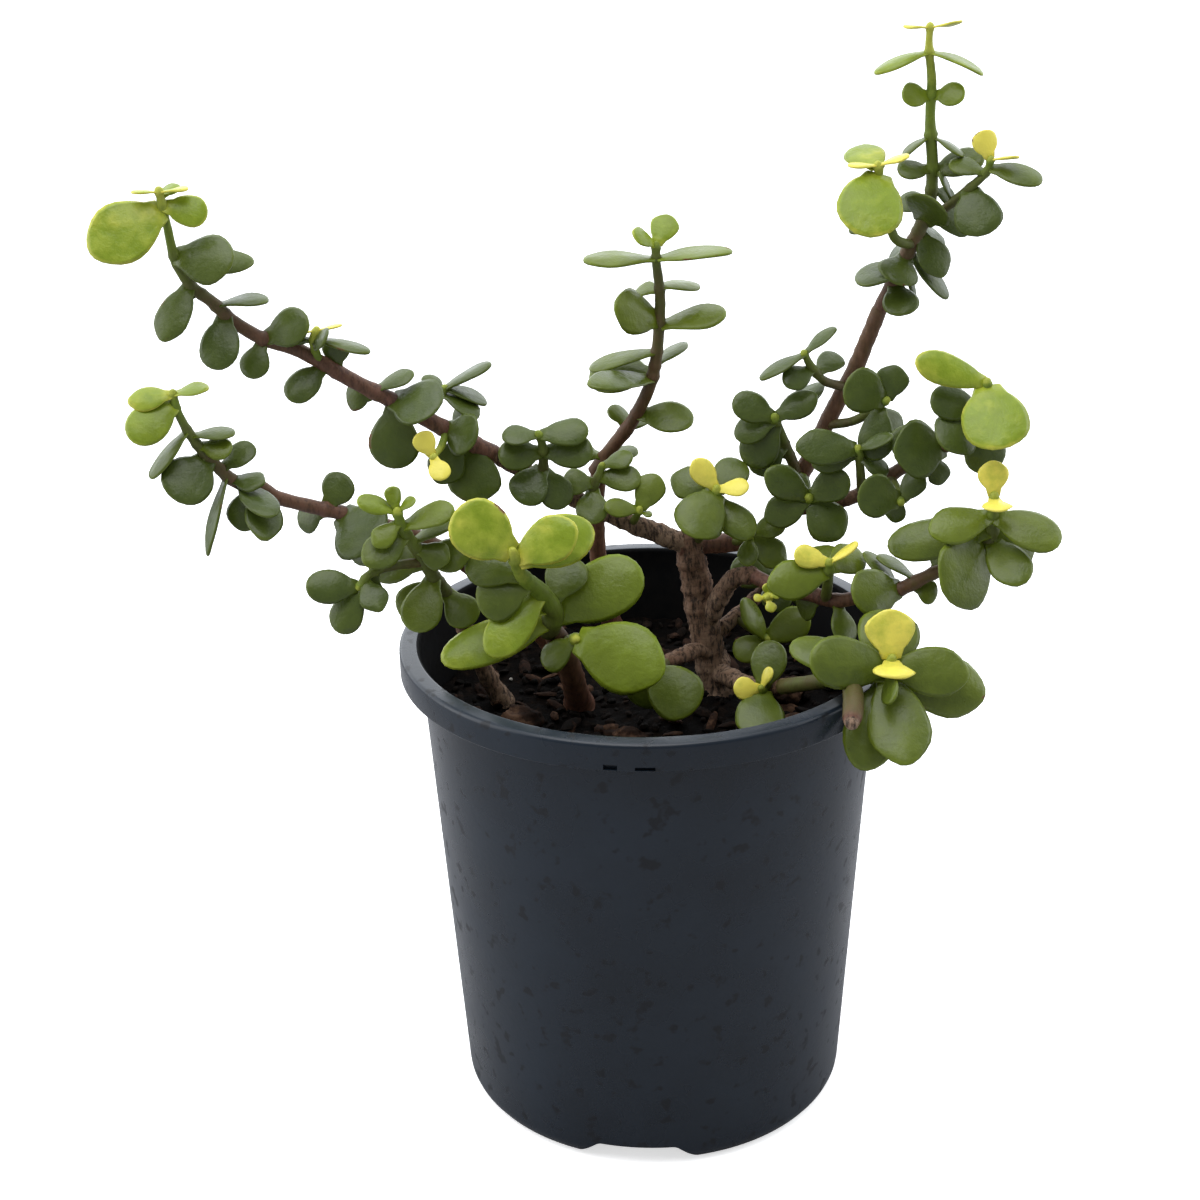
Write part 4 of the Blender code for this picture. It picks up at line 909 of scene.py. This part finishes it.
# %% Growing one stem
def nearest_on(line, corners):
    """For each corner, the number of the nearest step of a line."""
    steps = np.array([tuple(point) for along, point in line])
    return np.argmin(((corners[:, None, :] - steps[None, :, :]) ** 2).sum(axis=2), axis=1)


def corners_of(mesh):
    flat = np.empty(len(mesh.vertices) * 3, dtype=np.float32)
    mesh.vertices.foreach_get("co", flat)
    return flat.reshape(-1, 3)


def grow(name, line, radii, sides):
    """A round stem along a line, with a radius at each of its steps."""
    stem = fresh(bpy.ops.object.add, name, type="CURVE")
    stem.data.dimensions = "3D"
    stem.data.bevel_depth = 1.0
    stem.data.bevel_resolution = sides // 2 - 2
    stem.data.use_fill_caps = True
    spline = stem.data.splines.new("POLY")
    spline.points.add(len(line) - 1)
    for knot, (along, point), radius in zip(spline.points, line, radii):
        knot.co = (*point, 1)
        knot.radius = radius
    only(stem)
    bpy.ops.object.convert(target="MESH")
    return seal(bpy.context.object)


def lengths(line):
    """How far each step is from the start, in metres."""
    run = [0.0]
    for (one, before), (two, after) in zip(line, line[1:]):
        run.append(run[-1] + (after - before).length)
    return run


def bumps(run, at, size, width):
    """A small swelling at each of some distances along a stem."""
    return sum(size * math.exp(-((run - place) / width) ** 2) for place in at)


def rounded_end(line, radii):
    """Closes a tip with a small dome."""
    along, end = line[-1]
    onward = (end - line[-2][1]).normalized()
    last = radii[-1]
    for step, share in ((0.45, 0.85), (0.75, 0.55), (0.9, 0.2)):
        line.append((along, end + onward * last * step))
        radii.append(last * share)


print("trunk length", round(lengths(trunk_line)[-1] / MM, 1), "mm")

# %% [markdown]
# ## The bark
#
# Old wood is thick, grey-brown and lumpy, ringed by the scars of leaves that fell long ago. Young wood is
# thin and smooth, purple-brown, with the scars closer together. A stem stands a little way down in the
# mix and flares where it meets it.

# %% The stems
TRUNK_SIDES, STEM_SIDES, TWIG_SIDES = 36, 20, 12
ROOT_DEPTH = 5 * MM
# For old and for young wood: the gap between scars, their height, and how uneven the stem is
SCARS = {True: (4.6 * MM, 0.20 * MM, 0.16), False: (3.4 * MM, 0.12 * MM, 0.06)}
TWIG_THICKER = 1.14
TIP_THINNER = 0.38
FLARE = 0.35


def share_along(name, line, mesh):
    """How far along its line each corner of a stem is, from 0 to 1, and in metres."""
    nearest = nearest_on(line, corners_of(mesh))
    store(mesh, "reach", np.array(lengths(line))[nearest])
    return np.array([along for along, point in line])[nearest] / (len(LINES[name][3]) - 1)


def stem_steps(name, spacing=0.7 * MM):
    """A stem's smooth line, taken down into the mix or back into the wood that it grew from."""
    points = [from_soil(point) for point in LINES[name][3]]
    line = smooth_line(points, spacing)
    back = (points[0] - line[1][1]).normalized()
    if points[0].z < SOIL_TOP + 1 * MM:
        return [(0.0, points[0] + Vector((0, 0, -ROOT_DEPTH)))] + line
    ends = [from_soil(LINES[stem][3][-1]) for stem in STEMS]
    if min((points[0] - end).length for end in ends) < 5 * MM:
        return [(0.0, points[0] + back * 3 * MM), (0.0, points[0] + back * 1.5 * MM)] + line
    return line


def stem_radii(name, line, leaf_places=()):
    """The radius at each step: a taper, with swellings at leaves and scars, and some unevenness."""
    kind, foot, tip, points = LINES[name]
    run = lengths(line)
    chance = random.Random(name)
    gap, scar, uneven = SCARS[kind == "old"]
    scars = [place * gap + chance.uniform(-1.5, 1.5) * MM for place in range(int(run[-1] / gap) + 1)]
    offset = chance.uniform(0, 50)
    radii = []
    for (along, point), so_far in zip(line, run):
        share = along / (len(points) - 1)
        radius = (foot + (tip - foot) * share) * MM
        if name not in STEMS:
            radius *= TWIG_THICKER - TIP_THINNER * share ** 6
        radius *= 1 + uneven * noise.noise(Vector((so_far / (3.5 * MM) + offset, offset, 0)))
        if name in STEMS:
            radius += bumps(so_far, scars, scar, 0.6 * MM)
            radius *= 1 + FLARE * math.exp(-max(0, point.z - SOIL_TOP) / (4 * MM))
        radius += bumps(so_far, leaf_places, 0.22 * MM, 0.8 * MM)
        radii.append(radius)
    return radii


def add_stem(name, sides):
    line = stem_steps(name)
    radii = stem_radii(name, line)
    rounded_end(line, radii)
    stem = grow(name + "_wood", line, radii, sides)
    old = LINES[name][0] == "old"
    thick = LINES[name][1] * MM
    share = share_along(name, line, stem.data)
    store(stem.data, "youth", (0.0 if old else 0.30) + (0.16 if old else 0.14) * share)
    if old:
        ruffle(stem, "knots", 0.005, 0.42 * thick)
        ruffle(stem, "cracks", 0.0013, 0.26 * thick)
    else:
        ruffle(stem, "knots", 0.004, 0.16 * thick)
    return smooth(stem)


wood = {name: add_stem(name, TRUNK_SIDES if name == "trunk" else STEM_SIDES) for name in STEMS}
print("wood:", {name: len(stem.data.polygons) for name, stem in wood.items()})

# %% [markdown]
# One function makes the finishes of old and young wood. The colour comes from the number for youth:
# grey-brown, then purple-brown, olive, green and yellow. Rings of scars follow the number for the
# distance along the stem, and fine cracks follow the stem's upward grain, where the noise is stretched.

# %% Bark and green stems
WOOD_TONES = [
    (0.0, (0.300, 0.200, 0.135)), (0.14, (0.205, 0.118, 0.074)), (0.30, (0.155, 0.068, 0.044)),
    (0.46, (0.125, 0.068, 0.032)), (0.60, (0.088, 0.092, 0.022)), (0.80, (0.150, 0.215, 0.018)),
    (1.0, (0.50, 0.52, 0.07))]
RING_GAP = 2.3 * MM


def wood_finish(name, roughness, depth):
    finish = new_finish(name, roughness, specular=0.3)
    blotch = spots(finish, 260, 5, rough=0.65)
    cracks = spots(finish, 900, 5, stretch=(1, 1, 0.28), rough=0.7)
    turns = times(finish, mark(finish, "reach"), 2 * math.pi / RING_GAP)
    rings = node(finish, "Math", {0: turns}, operation="SINE").outputs[0]
    youth = mark(finish, "youth")
    tone = plus(finish, youth, sway(finish, blotch, -0.05, 0.06))
    colour = ramp(finish, tone, WOOD_TONES)
    aged = between(finish, youth, 0.15, 0.5, 0.85, 0.12)
    dark_cracks = times(finish, between(finish, cracks, 0.53, 0.40), aged)
    colour = blend(finish, dark_cracks, colour, (0.010, 0.006, 0.004, 1))
    pale_flakes = times(finish, between(finish, cracks, 0.58, 0.72), aged)
    colour = blend(finish, times(finish, pale_flakes, 0.6), colour, (0.27, 0.20, 0.145, 1))
    scar = times(finish, between(finish, rings, 0.80, 1.0, 0, 0.28), aged)
    colour = blend(finish, scar, colour, (0.022, 0.013, 0.009, 1))
    gloss = plus(finish, sway(finish, cracks, -0.06, 0.08), roughness)
    return dress(finish, colour, gloss, cracks, depth, 0.8)


old_bark = wood_finish("old_bark", 0.82, 0.0009)
young_bark = wood_finish("young_bark", 0.5, 0.00018)
for name, stem in wood.items():
    old = LINES[name][0] == "old"
    settle(stem, old_bark if old else young_bark, "bark" if old else "young_bark", name)
print("stems finished:", len(wood))

# %% [markdown]
# ## The leaf
#
# A leaf is plump and spoon-shaped: a narrow stalk, sides that widen to a little past the middle, and a
# round tip. All the leaves are the same shape at different sizes, so one is modelled with few faces and
# then copied. It starts as a ball with its poles at the stalk and the tip, because a ball's rings close
# up towards its poles just as a leaf's outline does, and each ring is then resized.

# %% The leaf's outline
WIDEST = 0.57
STALK = 0.14
LEAF_RINGS = 12


def leaf_width(share):
    """The half width at a share of the blade's length, as a share of the widest."""
    if share < WIDEST:
        return 0.31 + 0.69 * math.sin(math.pi / 2 * max(0, share) / WIDEST) ** 0.70
    return math.sqrt(max(0, 1 - ((share - WIDEST) / (1 - WIDEST)) ** 2.1))


def leaf_thickness(share):
    """The half thickness at a share of the blade's length."""
    full = 0.62 + 0.30 * math.sin(math.pi / 2 * min(1, max(0, share) / 0.45))
    return full * min(1, leaf_width(share) / 0.55) ** 0.5 if share > WIDEST else full


print("half widths:", [round(leaf_width(share / 5), 2) for share in range(6)])

# %% Shaping one leaf
leaf = fresh(bpy.ops.mesh.primitive_uv_sphere_add, "leaf", segments=8, ring_count=LEAF_RINGS, radius=0.5,
             location=(0.5, 0, 0), rotation=(0, math.pi / 2, 0))
apply_place(leaf)
edit(leaf)
for ring in range(1, LEAF_RINGS):
    turn = math.pi * ring / LEAF_RINGS
    share = 0.5 - 0.5 * math.cos(turn)
    size = 0.5 * math.sin(turn)
    pick(leaf, lambda place: abs(place.x - share) < 0.002)
    bpy.ops.transform.resize(
        value=(1, leaf_width(share) / size, leaf_thickness(share) / size), center_override=(share, 0, 0))
pick(leaf, lambda place: abs(place.y) > 0.01 and abs(place.z) > 0.01)
bpy.ops.transform.resize(value=(1, 1.20, 1.15), center_override=(0.5, 0, 0))
pick(leaf, lambda place: place.x < 0.03)
bpy.ops.transform.translate(value=(-STALK, 0, 0))
done()
print("leaf:", len(leaf.data.polygons), "faces, width", round(leaf.dimensions.y, 2))

# %% [markdown]
# Two numbers go on its corners and are copied with it: how near a corner is to the leaf's margin, and how
# far it is along the leaf. The finish uses them for the pale margin and the pale foot of the blade.

# %% Marking the margin
def to_margin(x, y):
    """0 on the midline and 1 on the leaf's outline."""
    if x < WIDEST:
        return min(1, abs(y) / leaf_width(x))
    return min(1, math.sqrt(((x - WIDEST) / (1 - WIDEST)) ** 2 + y ** 2))


leaf_corners = corners_of(leaf.data)
store(leaf.data, "rim", [to_margin(x, y) for x, y, z in leaf_corners])
store(leaf.data, "run", leaf_corners[:, 0])
print("margin from", round(min(to_margin(x, y) for x, y, z in leaf_corners), 2), "to 1")

# %% [markdown]
# ## Where each leaf goes
#
# The measured model already has every leaf at its place and size, as a coarse three-sided spoon that ends
# in a point. The point is easy to find: it has three edges, and stepping away from it gives four rings of
# three corners each. The rings tell how the leaf runs, how it bends, and how wide and thick it is.

# %% Reading a measured leaf
def rings_from(tip):
    """The four rings of three corners behind a leaf's point, or None if this isn't one."""
    seen = {tip}
    ring = {edge.other_vert(tip) for edge in tip.link_edges}
    rings = []
    for step in range(4):
        if len(ring) != 3:
            return None
        rings.append(ring)
        seen |= ring
        ring = {edge.other_vert(corner) for corner in ring for edge in corner.link_edges} - seen
    return rings


def read_leaf(tip, rings):
    """A leaf's start, its run and bend along its length, its side and its face, with its half sizes."""
    def middle(ring):
        return sum((corner.co for corner in ring), Vector()) / 3

    start = middle(rings[3])
    widest = [corner.co for corner in rings[1]]
    pairs = [(0, 1, 2), (1, 2, 0), (2, 0, 1)]
    one, two, ridge = max(pairs, key=lambda trio: (widest[trio[0]] - widest[trio[1]]).length)
    side = widest[one] - widest[two]
    face = widest[ridge] - (widest[one] + widest[two]) / 2
    to_tip = tip.co - start
    bend = (to_tip * 0.6 - (middle(rings[1]) - start)) / 0.24
    found = {
        "start": start, "run": to_tip - bend, "bend": bend, "side": side.normalized(),
        "face": face.normalized(), "half_width": side.length / 2, "half_thickness": face.length * 2 / 3}
    if found["run"].cross(found["side"]).dot(found["face"]) < 0:
        found["side"] = -found["side"]
    return found


def measured_leaves(name):
    shape = bmesh.new()
    shape.from_mesh(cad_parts[name].data)
    bmesh.ops.remove_doubles(shape, verts=shape.verts, dist=0.02 * MM)
    tips = [corner for corner in shape.verts if len(corner.link_edges) == 3]
    found = [read_leaf(tip, rings) for tip in tips for rings in [rings_from(tip)] if rings]
    shape.free()
    return found


LEAVES = {name: measured_leaves(name) for name in SHOOTS}
print("leaves:", sum(len(found) for found in LEAVES.values()))

# %% [markdown]
# ## The ages of the leaves
#
# Colour tells a leaf's age. New pairs at the tips are yellow, the next ones lime, and the old ones a
# greyish dark green. For each shoot the list gives, from the tip down, the place along its line that an
# age reaches down to. Most twigs are old to the tip.

# %% Leaf ages
DARK, GREEN, OLIVE, BRIGHT, LIME, PALE, YELLOW = 0.06, 0.22, 0.38, 0.55, 0.72, 0.86, 1.0
AGES = {
    "front_lime_shoot": [
        (3.3, LIME), (2.3, GREEN), (1.7, 0.62), (1.3, GREEN), (1.0, 0.64), (0.6, 0.46), (0, 0.66)],
    "front_broad_leaf_shoot": [(1.7, 0.50), (0, GREEN)],
    "right_front_shoot": [(4.5, YELLOW), (0, 0.28)],
    "right_low_shoot": [(9.5, YELLOW), (8.7, OLIVE), (7.0, 0.26), (0, GREEN)],
    "right_low_upright": [(1.8, YELLOW), (0, OLIVE)],
    "right_low_bud": [(0, PALE)],
    "right_middle_shoot": [(4.5, LIME), (0, DARK)],
    "right_top_shoot": [(8.6, PALE), (7.3, 0.60), (6.2, 0.52), (4.3, GREEN), (0, DARK)],
    "top_left_twig": [(3.8, YELLOW), (3.0, LIME), (0, DARK)],
    "top_right_twig": [(3.8, YELLOW), (2.8, GREEN), (0, DARK)],
    "crown_shoot": [(2.8, YELLOW), (0, GREEN)],
    "crown_right_twig": [(0, GREEN)],
    "centre_shoot": [(6.6, 0.68), (5.8, 0.42), (4.3, OLIVE), (0, 0.24)],
    "branch_right_twig": [(0, OLIVE)],
    "branch_middle_twig": [(0, GREEN)],
    "left_upper_shoot": [(10.85, PALE), (10.2, LIME), (8.5, 0.14), (0, DARK)],
    "left_side_sprout": [(1.8, YELLOW), (0, DARK)],
    "left_middle_sprout": [(0, YELLOW)],
    "left_low_shoot": [(7.7, LIME), (7.3, 0.66), (6.9, BRIGHT), (5.9, GREEN), (5.7, OLIVE), (0, DARK)],
    "left_front_shoot": [(3.6, BRIGHT), (2.8, OLIVE), (1.8, GREEN), (0, 0.28)],
    "low_right_leaf_twig": [(1.75, YELLOW), (0, GREEN)],
    "low_left_leaf_twig": [(0, GREEN)],
    "low_middle_leaf_twig": [(0, OLIVE)],
}


def age_at(name, place):
    """The age of a leaf at a place along a shoot."""
    return next(age for lowest, age in AGES.get(name, [(0, DARK)]) if place >= lowest)


print("shoots with young leaves:", len(AGES))

# %% [markdown]
# A copied leaf is bent along its own line, and gets small differences: a blade cupped up or curled down, a
# slight twist, a margin that waves. Without them a plant looks stamped out.

# %% Laying one leaf
TWIST = 0.16
CUPPING = (-0.12, 0.16)
WAVE = 0.05
PLUMPNESS = (0.50, 0.66)
POINTEDNESS = (-0.35, 0.40)


def lay_leaf(found, stem_radius, age, chance):
    """A copy of the leaf, laid along a measured leaf's line."""
    mesh = leaf.data.copy()
    share, side, rise = corners_of(mesh).T.astype(float)
    run = found["run"].length
    share = np.where(share < 0, share / STALK * (stem_radius + 0.4 * MM) / run, share)
    half_width, half_thickness = found["half_width"], found["half_thickness"]
    twist = chance.uniform(-TWIST, TWIST) * np.clip(share, 0, 1)
    blade = np.clip(share, 0, 1)
    lift = half_width * (
        chance.uniform(*CUPPING) * side ** 2
        + chance.uniform(-WAVE, WAVE) * side * np.sin(blade * 7 + chance.uniform(0, 6)))
    across = side * half_width * (1 + 0.02 * np.sin(blade * 9 + chance.uniform(0, 6)))
    outward = rise * half_thickness * chance.uniform(*PLUMPNESS) + lift
    pointed = max(0, chance.uniform(*POINTEDNESS))
    across = across * (1 - pointed * np.clip((blade - 0.70) / 0.30, 0, 1))
    start, along, bend, sideways, face = (
        np.array(found[part]) for part in ("start", "run", "bend", "side", "face"))
    places = start + share[:, None] * along + (share ** 2)[:, None] * bend
    places = places + sideways * (across * np.cos(twist) - outward * np.sin(twist))[:, None]
    places = places + face * (across * np.sin(twist) + outward * np.cos(twist))[:, None]
    mesh.vertices.foreach_set("co", places.astype(np.float32).ravel())
    store(mesh, "age", age)
    store(mesh, "shade", chance.random())
    return add_mesh("leaf", mesh)


def place_on(name, line, found):
    """The place along a shoot's line, and the number of the step there, from which a leaf grows."""
    foot, tip, points = LINES[name][1:]
    root = np.array(found["start"] - found["run"].normalized() * (foot + 0.6) * MM)
    step = int(nearest_on(line, root[None, :])[0])
    return line[step][0], step


print("leaf corners", len(leaf.data.vertices))

# %% [markdown]
# ## The shoots
#
# A shoot is one green or brown twig with its leaves. The twig swells a little where each pair grows, and
# turns from purple-brown at its foot to the colour of its youngest leaves at its tip.

# %% Growing the shoots
FOOT_YOUTH = {"dark": 0.50, "olive": 0.54, "lime": 0.60, "yellow": 0.70}
TIP_YOUTH = {"dark": 0.74, "olive": 0.79, "lime": 0.86, "yellow": 0.94}
END_YOUTH = 0.12
# Long shoots: youth at the foot, youth at the tip, and how late along the shoot it turns green
LONG_SHOOTS = {
    "left_upper_shoot": (0.30, 0.84, 1.9), "left_low_shoot": (0.32, 0.80, 1.6),
    "right_top_shoot": (0.36, 0.96, 0.9), "centre_shoot": (0.40, 0.70, 1.7),
    "right_middle_shoot": (0.32, 0.78, 1.6),
    "right_low_shoot": (0.30, 0.76, 1.8), "broken_front_twig": (0.56, 0.02, 12.0)}


def add_twig(name, line, leaf_steps):
    run = lengths(line)
    radii = stem_radii(name, line, [run[step] for step in leaf_steps])
    rounded_end(line, radii)
    twig = grow(name + "_twig", line, radii, TWIG_SIDES)
    share = share_along(name, line, twig.data)
    kind = LINES[name][0]
    foot, tip, late = LONG_SHOOTS.get(name, (FOOT_YOUTH[kind], TIP_YOUTH[kind], 0.8))
    growing_end = 0.0 if name == "broken_front_twig" else END_YOUTH
    store(twig.data, "youth", foot + (tip - foot) * share ** late + growing_end * share ** 14)
    ruffle(twig, "unevenness", 0.0015, 0.16 * MM)
    return smooth(twig)


def add_leaves(name, line):
    """Lays the shoot's leaves and joins them. Also returns the steps that they grow from."""
    chance = random.Random(name + " leaves")
    kind, foot, tip, points = LINES[name]
    laid, steps = [], []
    for found in LEAVES[name]:
        along, step = place_on(name, line, found)
        radius = (foot + (tip - foot) * along / (len(points) - 1)) * MM
        laid.append(lay_leaf(found, radius, age_at(name, along), chance))
        steps.append(step)
    return (smooth(join(name + "_leaves", laid)) if laid else None), steps


twigs, foliage = {}, {}
for name in SHOOTS:
    line = stem_steps(name, 0.8 * MM)
    foliage[name], steps = add_leaves(name, line)
    twigs[name] = add_twig(name, line, steps)
remove(leaf)
print("shoots:", len(twigs), "faces of leaves:",
      sum(len(piece.data.polygons) for piece in foliage.values() if piece))

# %% [markdown]
# ## The leaf's skin
#
# The skin is waxy: a soft sheen, not a mirror. Its colour comes from the leaf's age and its own shade,
# with a faint mottle a few millimetres across. Pale streaks lie on the young leaves. The margin is paler
# and thin, and so is the foot of the blade. A few leaves have brown nibbled spots at the margin, and a
# thin coat over everything stands for the wax.

# %% Leaf finish
LEAF_TONES = [
    (0.0, (0.052, 0.076, 0.011)), (0.20, (0.077, 0.107, 0.011)), (0.38, (0.122, 0.160, 0.012)),
    (0.55, (0.150, 0.202, 0.010)), (0.72, (0.215, 0.295, 0.014)), (0.86, (0.40, 0.455, 0.045)),
    (1.0, (0.84, 0.74, 0.11))]

leaf_skin = new_finish("leaf_skin", 0.36, specular=0.34)
for socket, value in (("Coat Weight", 0.12), ("Coat Roughness", 0.17)):
    leaf_skin.node_tree.nodes["Principled BSDF"].inputs[socket].default_value = value
age, shade = mark(leaf_skin, "age"), mark(leaf_skin, "shade")
rim, run = mark(leaf_skin, "rim"), mark(leaf_skin, "run")
mottle = spots(leaf_skin, 170, 4, rough=0.6)
pores = spots(leaf_skin, 1500, 2)
tone = plus(leaf_skin, age, sway(leaf_skin, mottle, -0.075, 0.075))
tone = plus(leaf_skin, tone, between(leaf_skin, shade, 0, 1, -0.035, 0.05))
skin = ramp(leaf_skin, tone, LEAF_TONES)
paler = ramp(leaf_skin, plus(leaf_skin, tone, 0.17), LEAF_TONES)
margin = between(leaf_skin, rim, 0.90, 0.99, 0, 0.85)
foot_of_blade = between(leaf_skin, run, 0.16, -0.05, 0, 0.5)
skin = blend(leaf_skin, margin, skin, paler)
skin = blend(leaf_skin, foot_of_blade, skin, paler)
freckles = between(leaf_skin, pores, 0.68, 0.76, 0, 0.22)
skin = blend(leaf_skin, freckles, skin, paler)
streaks = spots(leaf_skin, 95, 3, rough=0.5)
bright_with_youth = between(leaf_skin, age, 0.45, 0.70, 0.1, 0.4)
veins = times(leaf_skin, between(leaf_skin, streaks, 0.52, 0.66), bright_with_youth)
skin = blend(leaf_skin, veins, skin, paler)
near_margin = between(leaf_skin, rim, 0.86, 0.95)
nibbled = times(leaf_skin, between(leaf_skin, mottle, 0.60, 0.66), near_margin)
nibbled = times(leaf_skin, nibbled, between(leaf_skin, shade, 0.90, 0.93))
skin = blend(leaf_skin, nibbled, skin, (0.13, 0.045, 0.016, 1))
wax = plus(leaf_skin, sway(leaf_skin, mottle, 0.27, 0.44), times(leaf_skin, nibbled, 0.3))
relief = plus(leaf_skin, mottle, times(leaf_skin, pores, 0.12))
dress(leaf_skin, skin, wax, relief, 0.0013, 0.4)
for name in SHOOTS:
    slot = "leaf_" + LINES[name][0]
    settle(twigs[name], young_bark, "young_bark", name)
    if foliage[name]:
        settle(foliage[name], leaf_skin, slot, name)
print("shoots finished:", len(SHOOTS))

# %% [markdown]
# ## The size of the finished plant
#
# The finished plant should fill the same box as the measured one. Both boxes are printed.

# %% Printing the sizes
finished_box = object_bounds()
sizes = {
    "measured": [list(corner) for corner in measured_box],
    "finished": [list(corner) for corner in finished_box],
}
for name, (low, high) in sizes.items():
    print(name, [round((top - bottom) / MM, 1) for bottom, top in zip(low, high)], "mm")
